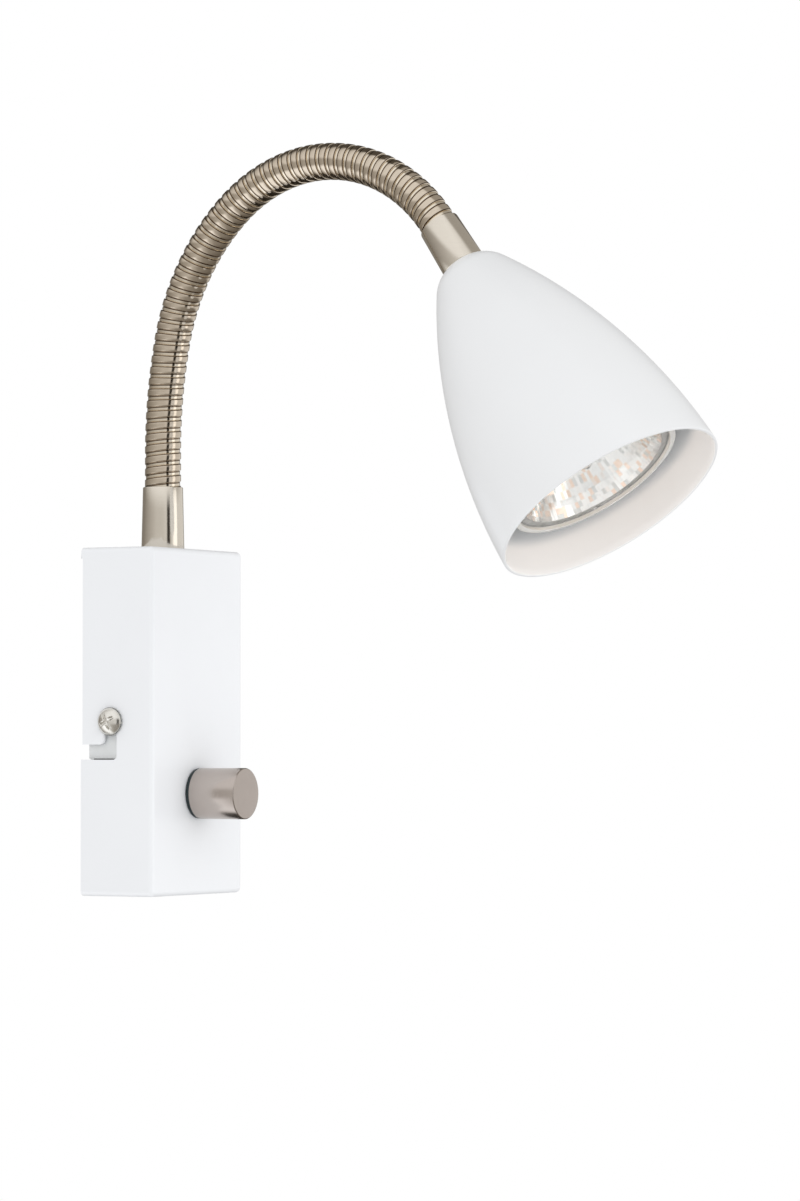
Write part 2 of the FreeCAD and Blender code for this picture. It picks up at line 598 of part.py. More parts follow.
def build_terminal():
    """The mains terminal block on the bracket, its screws, the earth screw and the inner wires."""
    block = new_body("terminal_block")
    base = sketch_on(block, "XY_Plane")
    wide, high = half("sizes.terminal_width"), half("sizes.terminal_height")
    rectangle(base, f"-{wide}", f"-{high}", wide, high)
    pad(block, base, "sizes.terminal_depth")
    fillet_where(block, "0.6", lambda middle, edge: middle.z > 1)
    wells = sketch_on(block, "XY_Plane", "sizes.terminal_depth")
    for pole in ("-", "0 * ", ""):
        circle(wells, f"{pole}sizes.terminal_pole", "0", "sizes.terminal_well")
    pocket(block, wells, "sizes.terminal_well_depth")
    ports = sketch_on(block, "XZ_Plane")
    for pole in ("-", "0 * ", ""):
        circle(ports, f"{pole}sizes.terminal_pole", "sizes.terminal_depth / 2",
               "sizes.terminal_port")
    pocket(block, ports, "2 * sizes.terminal_height", middle=True)
    place(block, "0", "-sizes.bracket_sheet", "sizes.terminal_up", FACE_OUT)
    screws = []
    for index, pole in enumerate(("-", "0 * ", "")):
        screws.append(primitive(
            "Cylinder", f"terminal_screw_{index}", x=f"{pole}sizes.terminal_pole",
            y="-sizes.bracket_sheet - sizes.terminal_depth + sizes.terminal_well_depth",
            z="sizes.terminal_up", rotation=FACE_OUT, Radius=half("sizes.terminal_screw_head"),
            Height="sizes.terminal_well_depth - 1.5"))
    keep(joined("terminal_screws", "Compound", screws), "terminal_screws")
    earth = pan_screw("earth_pan", "sizes.earth_hole - 0.02", "sizes.bracket_sheet",
                      "sizes.cover_screw_head", "sizes.cover_screw_dome", drive=False)
    place(earth, "sizes.earth_across", "-sizes.bracket_sheet", EARTH_Z, FACE_OUT)
    keep(earth, "earth_screw")


def swept_tube(path, diameter, start, heading):
    """A round tube along a path of straight runs and tangent arcs."""
    ring = Part.Wire(Part.makeCircle(diameter / 2, start, heading))
    return path.makePipeShell([ring], True, False)


def build_dimmer_wires(board_back):
    """Two insulated wires from the terminal block down to the dimmer board."""
    top = size("terminal_up") - size("terminal_height") / 2 + size("wire_entry")
    bend, thick = size("wire_bend"), size("wire_diameter")
    board = float(sheet.evalExpression(board_back.replace("sizes.", "")))
    drop = -size("board_drop") + size("board_height") / 2 - thick / 2
    y = -size("bracket_sheet") - size("terminal_depth") / 2
    tubes = []
    for across in (0.0, size("wire_spread")):
        start, turn_in = Vector(across, y, top), Vector(across, y, drop + bend)
        corner = Vector(across, y - bend * (1 - math.cos(math.pi / 4)),
                        drop + bend * (1 - math.sin(math.pi / 4)))
        turn_out, end = Vector(across, y - bend, drop), Vector(across, board, drop)
        path = Part.Wire([Part.LineSegment(start, turn_in).toShape(),
                          Part.Arc(turn_in, corner, turn_out).toShape(),
                          Part.LineSegment(turn_out, end).toShape()])
        tubes.append(swept_tube(path, thick, start, Vector(0, 0, -1)))
    item = doc.addObject("Part::Feature", "dimmer_wires")
    item.Shape = Part.makeCompound(tubes)
    keep(item, "dimmer_wires")


# ---------------------------------------------------------------- the neck's line
def neck_runs():
    """The neck's line as (length, radius) runs; a radius of 0 is a straight run."""
    runs = [(size("neck_rise"), 0.0)]
    for bend in ("low", "mid", "top"):
        radius = size(f"bend_{bend}_radius")
        runs.append((radius * math.radians(size(f"bend_{bend}_turn")), radius))
    return runs


def neck_frame(along):
    """Place on the neck's line, as a placement: +Z runs along the neck towards the head and +X is
    square to the plane that the neck bends in. The line is straight before 0 and past its end."""
    across, up, angle, left = 0.0, 0.0, 0.0, along
    for length, radius in neck_runs():
        step = min(left, length) if left > 0 else left
        if radius == 0.0:
            across += step * math.sin(angle)
            up += step * math.cos(angle)
        else:
            turned_by = step / radius
            across += radius * (math.cos(angle) - math.cos(angle + turned_by))
            up += radius * (math.sin(angle + turned_by) - math.sin(angle))
            angle += turned_by
        left -= step
        if left <= 0:
            break
    if left > 0:
        across += left * math.sin(angle)
        up += left * math.cos(angle)
    yaw = FreeCAD.Rotation(Vector(0, 0, 1), size("neck_yaw"))
    lean = FreeCAD.Rotation(Vector(1, 0, 0), math.degrees(angle))
    foot = Vector(0, -size("cover_depth") / 2, size("cover_height") / 2
                  + size("lower_ferrule_length"))
    return FreeCAD.Placement(foot + yaw.multVec(Vector(0, -across, up)), yaw.multiply(lean))


def neck_ring(along, radius):
    """A circle square to the neck's line, always started on the same side."""
    ring = Part.Wire(Part.makeCircle(radius))
    ring.Placement = neck_frame(along)
    return ring


def visible_ribs():
    return int(2 * size("end_ribs") + size("links") * size("link_ribs"))


def neck_length():
    return visible_ribs() * size("neck_pitch")


def joint_places():
    """Where the neck's links meet, measured along its line: always the middle of a groove."""
    first = size("end_ribs")
    step = size("link_ribs")
    return [(first + step * index) * size("neck_pitch") for index in range(int(size("links")) + 1)]


def ribbed_outside(low, high, seat_low, seat_high):
    """The ribbed outside between two joints: four circles to a rib, joined by straight lines."""
    pitch, gap, slope = size("neck_pitch"), size("neck_groove_width") / 2, size("groove_slope")
    band, groove = size("neck_band") / 2, size("neck_groove") / 2
    rings = []

    def add_groove(middle):
        rings.extend([(middle - gap, band), (middle - gap + slope, groove),
                      (middle + gap - slope, groove), (middle + gap, band)])

    if seat_low:
        rings.append((low, band))
        low_groove = 0
    else:
        rings.append((low + gap, band))
        low_groove = round(low / pitch) + 1
    top_groove = visible_ribs() if seat_high else round(high / pitch) - 1
    for index in range(low_groove, top_groove + 1):
        add_groove(index * pitch)
    rings.append((high if seat_high else high - gap, band))
    return Part.makeLoft([neck_ring(along, radius) for along, radius in rings], True, True)


def build_neck():
    """The neck as ribbed links. Each link ends in a ball-shaped nose inside the next one's
    socket, as the turns of the wound strip slide in each other, so it bends at the joint."""
    joints = joint_places()
    seat = size("hose_seat")
    stops = [-seat] + joints + [neck_length() + seat]
    nose, bore = size("nose_diameter") / 2, size("neck_bore") / 2
    gap, reach = size("neck_groove_width") / 2, size("nose_reach")
    pitch = size("neck_pitch")
    least = []
    for index in range(len(stops) - 1):
        low, high = stops[index], stops[index + 1]
        first, last = index == 0, index == len(stops) - 2
        solid = ribbed_outside(low, high, first, last)
        if not last:
            at = neck_frame(high)
            root = math.degrees(math.asin(min(1.0, (gap + pitch / 4) / nose)))
            tip = math.degrees(math.asin(min(1.0, reach / nose)))
            ball = Part.makeSphere(nose, Vector(0, 0, 0), Vector(0, 0, 1), -root, tip)
            ball.Placement = at
            solid = solid.fuse(ball)
        if not first:
            socket = Part.makeSphere(nose + size("socket_clearance"))
            socket.Placement = neck_frame(low)
            solid = solid.cut(socket)
        count = max(2, int(round((high - low) / pitch)) + 1)
        ends = [low - pitch / 2 + (high - low + pitch) * step / count for step in range(count + 1)]
        hollow = Part.makeLoft([neck_ring(along, bore) for along in ends], True, True)
        solid = solid.cut(hollow)
        item = doc.addObject("Part::Feature", f"neck_link_{index + 1:02d}")
        item.Shape = solid
        keep(item, f"neck_link_{index + 1:02d}")
        least.append(size("neck_band") / 2 - nose - size("socket_clearance"))
    print(f"neck: {visible_ribs()} ribs over {neck_length():.1f} mm, "
          f"thinnest wall {min(least):.2f} mm, groove {2 * gap:.2f} mm wide")


def build_lead():
    """The two-core lead inside the neck, from the terminal block to the lamp holder."""
    low = size("terminal_up") + size("terminal_height") / 2 + size("lead_tail")
    foot = neck_frame(0).Base.z
    high = neck_length() + size("upper_ferrule_length") + holder_top() - size("lead_gap")
    marks = [low - foot, 0.0]
    for length, radius in neck_runs():
        marks.append(marks[-1] + length)
    marks.append(high)
    edges = []
    for index in range(len(marks) - 1):
        start, end = marks[index], marks[index + 1]
        curved = 2 <= index < len(marks) - 2
        places = [neck_frame(along).Base for along in (start, (start + end) / 2, end)]
        if curved:
            edges.append(Part.Arc(*places).toShape())
        else:
            edges.append(Part.LineSegment(places[0], places[2]).toShape())
    item = doc.addObject("Part::Feature", "neck_lead")
    tube = swept_tube(Part.Wire(edges), size("lead_diameter"), edges[0].Vertexes[0].Point,
                      Vector(0, 0, 1))
    item.Shape = Part.makeSolid(tube) if tube.ShapeType != "Solid" else tube
    keep(item, "neck_lead")
    wanted = (high - marks[0]) * math.pi * size("lead_diameter") ** 2 / 4
    print(f"lead: {high - marks[0]:.1f} mm long, volume {item.Shape.Volume:.1f}, "
          f"section times length {wanted:.1f}")


# ---------------------------------------------------------------- neck fittings
def ferrule(label, length):
    """A tapered sleeve: wide end at z = 0, hose seat in the narrow end, thread in the wide one."""
    seat = half("sizes.neck_band + 2 * sizes.hose_fit")
    thread = half("sizes.nipple_thread + 0.02")
    shelf = f"{length} - sizes.hose_seat - 0.1"
    return turned(label, [
        (thread, "0"), (half("sizes.ferrule_base"), "0"), (half("sizes.ferrule_tip"), length),
        (seat, length), (seat, shelf), (thread, shelf)])


def nipple_end(length):
    """How far the nipple runs up a ferrule: to just under the hose that sits in its other end."""
    return f"{length} - sizes.hose_seat - sizes.nipple_gap"


def nipple(label, low, high):
    """A threaded pipe between two heights."""
    thread, bore = half("sizes.nipple_thread"), half("sizes.nipple_bore")
    return turned(label, [(bore, low), (thread, low), (thread, high), (bore, high)])


def neck_washer(name):
    return toothed_ring(name, size("tooth_washer_outer"),
                        size("nipple_thread") + 2 * size("thread_clearance"),
                        size("tooth_washer_sheet"), int(size("tooth_washer_teeth")),
                        size("tooth_depth"))


def build_lower_fittings():
    """What holds the neck on the box: ferrule on top, nipple, toothed washer and nut below."""
    sleeve = ferrule("lower_ferrule", "sizes.lower_ferrule_length")
    place(sleeve, "0", FERRULE_Y, TOP)
    pipe = nipple("lower_nipple", "-sizes.lower_nipple_drop",
                  nipple_end("sizes.lower_ferrule_length"))
    place(pipe, "0", FERRULE_Y, TOP)
    under = f"{TOP} - sizes.cover_wall - sizes.tooth_washer_sheet"
    washer = keep(neck_washer("lower_lock_washer"), "lower_lock_washer")
    place(washer, "0", FERRULE_Y, under)
    nut = hexagon_nut("lower_nut", "sizes.neck_nut_flats", "sizes.neck_nut_height",
                      "sizes.nipple_thread + 0.02")
    place(nut, "0", FERRULE_Y, f"{under} - sizes.neck_nut_height")


# ---------------------------------------------------------------- the head
def head_frame():
    """The head's own frame: origin at the shade's crown, +Z back along the neck."""
    end = neck_frame(neck_length() + size("upper_ferrule_length"))
    return end.multiply(FreeCAD.Placement(Vector(0, 0, 0), UPSIDE_DOWN))


def holder_top():
    """How far the lamp holder's top lies below the shade's crown."""
    return (size("shade_wall") + size("tooth_washer_sheet") + 2 * size("neck_nut_height")
            + size("strap_sheet") + size("holder_drop"))


STACK = "(sizes.shade_wall + sizes.tooth_washer_sheet + sizes.neck_nut_height)"
STRAP_UNDER = f"({STACK} + sizes.strap_sheet)"
HOLDER_TOP = f"-({STRAP_UNDER} + sizes.neck_nut_height + sizes.holder_drop)"
HOLDER_STEP = f"({HOLDER_TOP} - sizes.holder_neck_height)"
HOLDER_LOW = f"({HOLDER_STEP} - sizes.holder_skirt)"
BASE_BACK = f"({HOLDER_LOW} - sizes.base_gap)"
BULB_BACK = f"({BASE_BACK} - sizes.base_length)"
BULB_FACE = f"({BULB_BACK} - sizes.bulb_depth)"


def build_shade():
    """The spun shade, one wall thick: a long arc from the mouth, a tighter one over the shoulder
    and a flat crown where the ferrule seats, with the hole for the nipple."""
    body = new_body("shade")
    drawing = sketch_on(body, "XZ_Plane")
    mouth, length, wall = size("mouth_radius"), size("shade_length"), size("shade_wall")
    big, small, crown = size("shade_body_radius"), size("shoulder_radius"), size("crown_radius")
    hole = size("nipple_thread") / 2 + size("thread_clearance")
    slope = math.radians(size("mouth_slope"))
    # the middle of the long arc, and of the shoulder arc that it runs into without a corner
    big_x, big_y = mouth - big * math.cos(slope), -length - big * math.sin(slope)
    small_x, small_y = size("shoulder_across"), size("shoulder_up")
    turn = math.atan2(small_y - big_y, small_x - big_x)
    up = Vector(0, 0, 1)

    def arc(across, high, radius, start, end):
        middle = Part.Circle(Vector(across, high, 0), up, radius)
        return Part.ArcOfCircle(middle, start, end)

    top_angle = math.radians(size("crown_slope"))
    in_top_angle = math.asin((-wall - small_y) / (small - wall))
    in_crown = small_x + (small - wall) * math.cos(in_top_angle)
    in_low_angle = math.asin((-length - big_y) / (big - wall))
    in_mouth = big_x + (big - wall) * math.cos(in_low_angle)
    drawing.addGeometry([
        arc(big_x, big_y, big, slope, turn),
        arc(small_x, small_y, small, turn, top_angle),
        Part.LineSegment(Vector(crown, 0, 0), Vector(hole, 0, 0)),
        Part.LineSegment(Vector(hole, 0, 0), Vector(hole, -wall, 0)),
        Part.LineSegment(Vector(hole, -wall, 0), Vector(in_crown, -wall, 0)),
        arc(small_x, small_y, small - wall, turn, in_top_angle),
        arc(big_x, big_y, big - wall, in_low_angle, turn),
        Part.LineSegment(Vector(in_mouth, -length, 0), Vector(mouth, -length, 0))], False)
    for here, there in (((1, 2), (2, 1)), ((2, 2), (3, 1)), ((3, 2), (4, 1)),
                        ((4, 2), (5, 2)), ((5, 1), (6, 2)), ((6, 1), (7, 1)), ((7, 2), (0, 1)),
                        ((0, 3), (6, 3)), ((1, 3), (5, 3))):
        drawing.addConstraint(Sketcher.Constraint("Coincident", *here, *there))
    drawing.addConstraint(Sketcher.Constraint("Tangent", 0, 2, 1, 1))
    drawing.addConstraint(Sketcher.Constraint("Horizontal", 4))
    drawing.addConstraint(Sketcher.Constraint("Horizontal", 7))
    pin_point(drawing, 0, 1, "sizes.mouth_radius", "-sizes.shade_length")
    pin_point(drawing, 1, 2, "sizes.crown_radius", "0")
    pin_point(drawing, 2, 2, "sizes.nipple_thread / 2 + sizes.thread_clearance", "0")
    pin_point(drawing, 3, 2, "sizes.nipple_thread / 2 + sizes.thread_clearance",
              "-sizes.shade_wall")
    bind(drawing, Sketcher.Constraint("Radius", 0, big), "sizes.shade_body_radius")
    bind(drawing, Sketcher.Constraint("Radius", 1, small), "sizes.shoulder_radius")
    bind(drawing, Sketcher.Constraint("DistanceY", -1, 1, 1, 3, small_y), "sizes.shoulder_up")
    spin = body.newObject("PartDesign::Revolution", "shade_turn")
    spin.Profile = drawing
    spin.ReferenceAxis = (drawing, ["V_Axis"])
    spin.Angle = 360.0
    doc.recompute()


def build_upper_fittings():
    """Ferrule, nipple, toothed washer and two nuts: the first clamps the shade, the second the
    strap that carries the lamp holder."""
    ferrule("upper_ferrule", "sizes.upper_ferrule_length")
    nipple("upper_nipple", f"-{STRAP_UNDER} - sizes.neck_nut_height", nipple_end("sizes.upper_ferrule_length"))
    washer = keep(neck_washer("upper_lock_washer"), "upper_lock_washer")
    place(washer, z="-sizes.shade_wall - sizes.tooth_washer_sheet")
    nut = hexagon_nut("shade_nut", "sizes.neck_nut_flats", "sizes.neck_nut_height",
                      "sizes.nipple_thread + 0.02")
    place(nut, z=f"-{STACK}")
    second = hexagon_nut("strap_nut", "sizes.neck_nut_flats", "sizes.neck_nut_height",
                         "sizes.nipple_thread + 0.02")
    place(second, z=f"-{STRAP_UNDER} - sizes.neck_nut_height")


def build_holder():
    """The ceramic lamp holder, the bent strap that carries it and their two screws."""
    strap = new_body("holder_strap")
    side = sketch_on(strap, "XZ_Plane")
    outer = half("sizes.strap_span")
    inner = f"({outer} - sizes.strap_sheet)"
    top, under = f"-{STACK}", f"-{STRAP_UNDER}"
    foot = f"-{STACK} - sizes.strap_leg"
    crown = half("sizes.strap_crown")
    in_crown = f"({crown} - sizes.strap_sheet * 0.6)"
    bend = f"{top} - sizes.strap_splay"
    outline(side, [(f"-{crown}", top), (f"-{outer}", bend), (f"-{outer}", foot),
                   (f"-{inner}", foot), (f"-{inner}", bend), (f"-{in_crown}", under),
                   (in_crown, under), (inner, bend), (inner, foot), (outer, foot),
                   (outer, bend), (crown, top)])
    pad(strap, side, "sizes.strap_width", middle=True)
    hole = sketch_on(strap, "XY_Plane", top)
    circle(hole, "0", "0", "sizes.nipple_thread + 2 * sizes.thread_clearance")
    pocket(strap, hole, "2 * sizes.strap_sheet")
    screw_z = f"-{STACK} - sizes.holder_screw_drop"
    sides = sketch_on(strap, "YZ_Plane")
    circle(sides, "0", screw_z, "sizes.holder_screw_thread + 0.3")
    pocket(strap, sides, "2 * sizes.strap_span", middle=True)

    holder = new_body("lamp_holder")
    skirt = sketch_on(holder, "XY_Plane", HOLDER_LOW)
    circle(skirt, "0", "0", "2 * sizes.holder_radius")
    pad(holder, skirt, "sizes.holder_skirt")
    block = sketch_on(holder, "XY_Plane", HOLDER_STEP)
    flat = f"({inner} - 0.05)"
    depth = "sizes.strap_width / 2 + 1"
    rectangle(block, f"-{flat}", f"-({depth})", flat, depth)
    pad(holder, block, "sizes.holder_neck_height")
    chambers = sketch_on(holder, "XY_Plane", HOLDER_LOW)
    for sign in ("-", ""):
        circle(chambers, f"{sign}sizes.pin_spacing / 2", "0", "sizes.pin_chamber")
    pocket(holder, chambers, "sizes.pin_chamber_depth", reverse=True)
    threads = sketch_on(holder, "YZ_Plane")
    circle(threads, "0", screw_z, "sizes.holder_screw_thread")
    pocket(holder, threads, "2 * sizes.strap_span", middle=True)

    screw = pan_screw("left_holder_screw", "sizes.holder_screw_thread",
                      "sizes.holder_screw_length", "sizes.holder_screw_head",
                      "sizes.holder_screw_dome", drive=False)
    place(screw, f"-{outer}", "0", screw_z, SIDE_OUT)
    keep(joined("holder_screws", "Compound", [screw, mirrored("right_holder_screw", screw)]),
         "holder_screws")


def build_bulb():
    """The reflector bulb: ribbed glass reflector with a rim, front glass, ceramic base with two
    headed pins and the quartz capsule that shines."""
    face, back = BULB_FACE, BULB_BACK
    rim, opening = half("sizes.bulb_face"), half("sizes.bulb_opening")
    neck, shell = half("sizes.bulb_neck"), "sizes.bulb_shell"
    under_rim = f"{face} + sizes.bulb_rim"
    glass = half("sizes.glass_diameter")
    ledge = f"{face} + sizes.glass_recess + sizes.glass_sheet"
    turned("bulb_reflector", [
        (f"{rim} - sizes.bulb_bead", face, "sizes.bulb_bead", -1),
        (rim, f"{face} + sizes.bulb_bead"),
        (rim, under_rim),
        (f"{rim} - sizes.bulb_bead * 1.5", under_rim, "sizes.bulb_depth * 1.35", -1),
        (neck, back),
        (f"{neck} - {shell} * 2", back),
        (f"{neck} - {shell} * 2", f"{back} - {shell} * 3", "sizes.bulb_depth * 1.3", 1),
        (opening, ledge),
        (glass, ledge),
        (glass, face)])
    turned("bulb_front_glass", [
        ("0", f"{face} + sizes.glass_recess"),
        (f"{glass} - 0.05", f"{face} + sizes.glass_recess"),
        (f"{glass} - 0.05", ledge), ("0", ledge)])
    base = turned("bulb_base", [
        ("0", back), (neck, back), (neck, f"{back} + sizes.base_length * 0.35"),
        (half("sizes.base_tip"), f"{back} + sizes.base_length * 0.6"),
        (half("sizes.base_tip"), BASE_BACK), ("0", BASE_BACK)])
    pins = []
    for index, sign in enumerate(("-", "")):
        across = f"{sign}sizes.pin_spacing / 2"
        shank = primitive("Cylinder", f"pin_shank_{index}", x=across, z=BASE_BACK,
                          Radius=half("sizes.pin_shank"), Height="sizes.pin_length")
        head = primitive("Cylinder", f"pin_head_{index}", x=across,
                         z=f"{BASE_BACK} + sizes.pin_length - sizes.pin_head_height",
                         Radius=half("sizes.pin_head"), Height="sizes.pin_head_height")
        pins.append(joined(f"bulb_pin_{index}", "MultiFuse", [shank, head]))
    keep(joined("bulb_pins", "Compound", pins), "bulb_pins")
    wide = half("sizes.capsule_diameter")
    low = f"({back} - sizes.capsule_length)"
    turned("bulb_capsule", [
        ("0", f"{low} - sizes.capsule_tip"), ("0.6", f"{low} - sizes.capsule_tip"),
        (wide, low), (wide, f"{back} - sizes.capsule_length * 0.35"),
        (f"{wide} * 0.55", f"{back} - sizes.capsule_length * 0.2"),
        (f"{wide} * 0.55", back), ("0", back)])
    return base


def build_head():
    """Everything that rides on the end of the neck, put in the head's frame."""
    first = len(NODES)
    build_upper_fittings()
    build_shade()
    build_holder()
    build_bulb()
    doc.recompute()
    frame = head_frame()
    for item in NODES[first:]:
        for axis in "xyz":
            item.setExpression("Placement.Base." + axis, None)
        item.Placement = frame.multiply(item.Placement)


# ---------------------------------------------------------------- build, check, write
build_cover()
build_bracket()
build_cover_screws()
build_grommet()
back_of_board = build_dimmer()
build_knob()
build_terminal()
build_dimmer_wires(back_of_board)
build_lower_fittings()
build_neck()
build_lead()
build_head()
doc.recompute()

for item in doc.Objects:
    if any(word in state for state in item.State for word in ("Invalid", "Error")):
        raise RuntimeError(f"{item.Name} failed: {item.State}")
for item in NODES:
    if item.Shape.isNull() or not item.Shape.isValid() or not item.Shape.Solids:
        raise RuntimeError(f"{item.Label} has no sound solid")

os.makedirs("parts", exist_ok=True)
for item in NODES:
    item.Shape.exportStep(f"parts/{item.Label}.step")
print(f"{len(NODES)} parts written")
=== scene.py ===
# %% [markdown]
# # A bedside wall reading lamp
# The lamp hangs on a wall: a white box with a dimmer knob, a ribbed neck that stays where it is
# bent, and a spun shade around a reflector bulb. The shapes that carry load or move come from
# the fixed frame below. This file gives every surface its finish, and models again the pieces
# that are looked at closely.

# %% Load the fixed frame
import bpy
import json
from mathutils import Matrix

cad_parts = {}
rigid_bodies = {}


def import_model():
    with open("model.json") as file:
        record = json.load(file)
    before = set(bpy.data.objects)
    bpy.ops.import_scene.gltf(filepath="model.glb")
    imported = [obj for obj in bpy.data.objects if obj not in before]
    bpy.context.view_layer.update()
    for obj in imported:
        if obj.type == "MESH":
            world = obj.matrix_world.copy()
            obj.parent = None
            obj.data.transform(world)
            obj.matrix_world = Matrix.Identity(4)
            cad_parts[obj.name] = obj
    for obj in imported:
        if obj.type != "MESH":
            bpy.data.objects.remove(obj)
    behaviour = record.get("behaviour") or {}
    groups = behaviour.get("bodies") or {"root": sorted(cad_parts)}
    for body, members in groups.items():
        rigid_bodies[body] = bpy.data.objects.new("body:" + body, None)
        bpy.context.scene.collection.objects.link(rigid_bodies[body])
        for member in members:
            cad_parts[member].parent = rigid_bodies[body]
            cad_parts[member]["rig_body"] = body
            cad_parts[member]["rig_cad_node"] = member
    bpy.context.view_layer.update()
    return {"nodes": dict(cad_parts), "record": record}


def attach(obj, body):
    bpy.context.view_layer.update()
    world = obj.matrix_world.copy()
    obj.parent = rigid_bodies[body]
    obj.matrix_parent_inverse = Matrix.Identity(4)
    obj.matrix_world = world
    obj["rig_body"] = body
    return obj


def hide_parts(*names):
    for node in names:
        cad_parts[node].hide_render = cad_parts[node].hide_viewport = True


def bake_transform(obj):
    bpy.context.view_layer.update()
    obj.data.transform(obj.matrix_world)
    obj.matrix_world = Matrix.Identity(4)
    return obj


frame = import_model()

# %% The modules that the steps need
import json
import random
from math import acos, atan2, cos, degrees, hypot, pi, radians, sin, tan

import bpy
from mathutils import Euler, Matrix, Vector

mm = 0.001
scene = bpy.context.scene
print("one millimetre is", mm, "metres")

# %% [markdown]
# ## Sizes that several pieces share
# The new pieces have to meet the frame's, so they use its sizes, in millimetres. The wall is the
# plane Y = 0, and height 0 is the middle of the box.

# %% Shared sizes
BOX_HALF_WIDTH, BOX_DEPTH, BOX_TOP = 24.5, 23.3, 48.5
KNOB_UP = -20.1
FERRULE_LOW, FERRULE_HIGH = 17.7, 14.3
SHADE = 80.5
print("box", 2 * BOX_HALF_WIDTH, "wide and", BOX_DEPTH, "deep, shade", SHADE, "long")

# %% [markdown]
# ## The camera
# The photograph was taken from the left and a little below, from far away with a long lens, so
# the box's upright edges stay nearly parallel. Its place was found by matching the box, the
# shade and the neck to their sizes.

# %% The camera
camera = bpy.data.objects.new("camera", bpy.data.cameras.new("camera"))
camera.location = Vector((-1125.35, -700.01, -5.86)) * mm
camera.rotation_euler = Euler((radians(90 + 1.743), 0, radians(-61.455)))
camera.data.lens = 140.0
camera.data.sensor_width = 36.0
scene.collection.objects.link(camera)
scene.camera = camera
print("camera", [round(value, 3) for value in camera.location], "lens", camera.data.lens)

# %% [markdown]
# ## Light
# The photograph is a cut-out product picture with even white light from everywhere. Four or five
# lamps could imitate that, but a white world does it with one number. The Light Path node keeps
# two jobs apart: the camera, mirrors and glass see pure white, and the surfaces are lit a little
# less, so that white enamel isn't burnt out. One large lamp in front adds the soft difference
# between the front and the sides.

# %% The white surroundings
WORLD_LIGHT = 0.955
world = bpy.data.worlds.new("studio")
world.use_nodes = True
scene.world = world
tree = world.node_tree
tree.nodes.clear()
rays = tree.nodes.new("ShaderNodeLightPath")
seen = tree.nodes.new("ShaderNodeMath")
seen.operation = "MAXIMUM"
shown = tree.nodes.new("ShaderNodeMath")
shown.operation = "MAXIMUM"
tree.links.new(rays.outputs["Is Camera Ray"], seen.inputs[0])
tree.links.new(rays.outputs["Is Glossy Ray"], seen.inputs[1])
tree.links.new(seen.outputs[0], shown.inputs[0])
tree.links.new(rays.outputs["Is Transmission Ray"], shown.inputs[1])
even = tree.nodes.new("ShaderNodeBackground")
even.inputs["Color"].default_value = (1, 1, 1, 1)
even.inputs["Strength"].default_value = WORLD_LIGHT
white = tree.nodes.new("ShaderNodeBackground")
white.inputs["Color"].default_value = (1, 1, 1, 1)
white.inputs["Strength"].default_value = 1.0
mixed = tree.nodes.new("ShaderNodeMixShader")
tree.links.new(shown.outputs[0], mixed.inputs[0])
tree.links.new(even.outputs[0], mixed.inputs[1])
tree.links.new(white.outputs[0], mixed.inputs[2])
tree.links.new(mixed.outputs[0], tree.nodes.new("ShaderNodeOutputWorld").inputs[0])
scene.view_settings.view_transform = "Standard"
print("even light", WORLD_LIGHT)

# %% One soft lamp
AIM = Vector((-5, -60, 60)) * mm
front = bpy.data.objects.new("front_lamp", bpy.data.lights.new("front_lamp", "AREA"))
front.location = Vector((0.2, -1.7, 0.1))
front.rotation_euler = (AIM - front.location).to_track_quat("-Z", "Y").to_euler()
front.data.size = 1.2
front.data.energy = 3.2
scene.collection.objects.link(front)
print("front lamp", round(front.data.energy, 1), "W")

# %% [markdown]
# ## Shader maths as Python
# A finish is a small graph of nodes, and drawing it by hand or naming every link in code is long.
# Wrapping a socket in a class lets the graph be written as an expression: each operator adds the
# Math node that does it. Colours go through Mix nodes, because a Math node would turn them grey.

# %% A socket that can be added and multiplied


class Link:
    """One output in a material's graph."""

    def __init__(self, paint, socket):
        self.paint, self.socket = paint, socket

    def maths(self, operation, *values):
        return self.paint.node("Math", {"operation": operation}, dict(enumerate(values)))

    def __add__(self, other):
        return self.maths("ADD", self, other)

    def __sub__(self, other):
        return self.maths("SUBTRACT", self, other)

    def __rsub__(self, other):
        return self.maths("SUBTRACT", other, self)

    def __mul__(self, other):
        return self.maths("MULTIPLY", self, other)

    def __truediv__(self, other):
        return self.maths("DIVIDE", self, other)

    __radd__, __rmul__ = __add__, __mul__

    def absolute(self):
        return self.maths("ABSOLUTE", self)

    def fraction(self):
        return self.maths("FRACT", self)

    def turn_from(self, across):
        """Turns, from -0.5 to 0.5, of the point that has this link as Y and across as X."""
        return self.maths("ARCTAN2", self, across) / (2 * pi)


print("links ready")

# %% A material whose graph is written as expressions


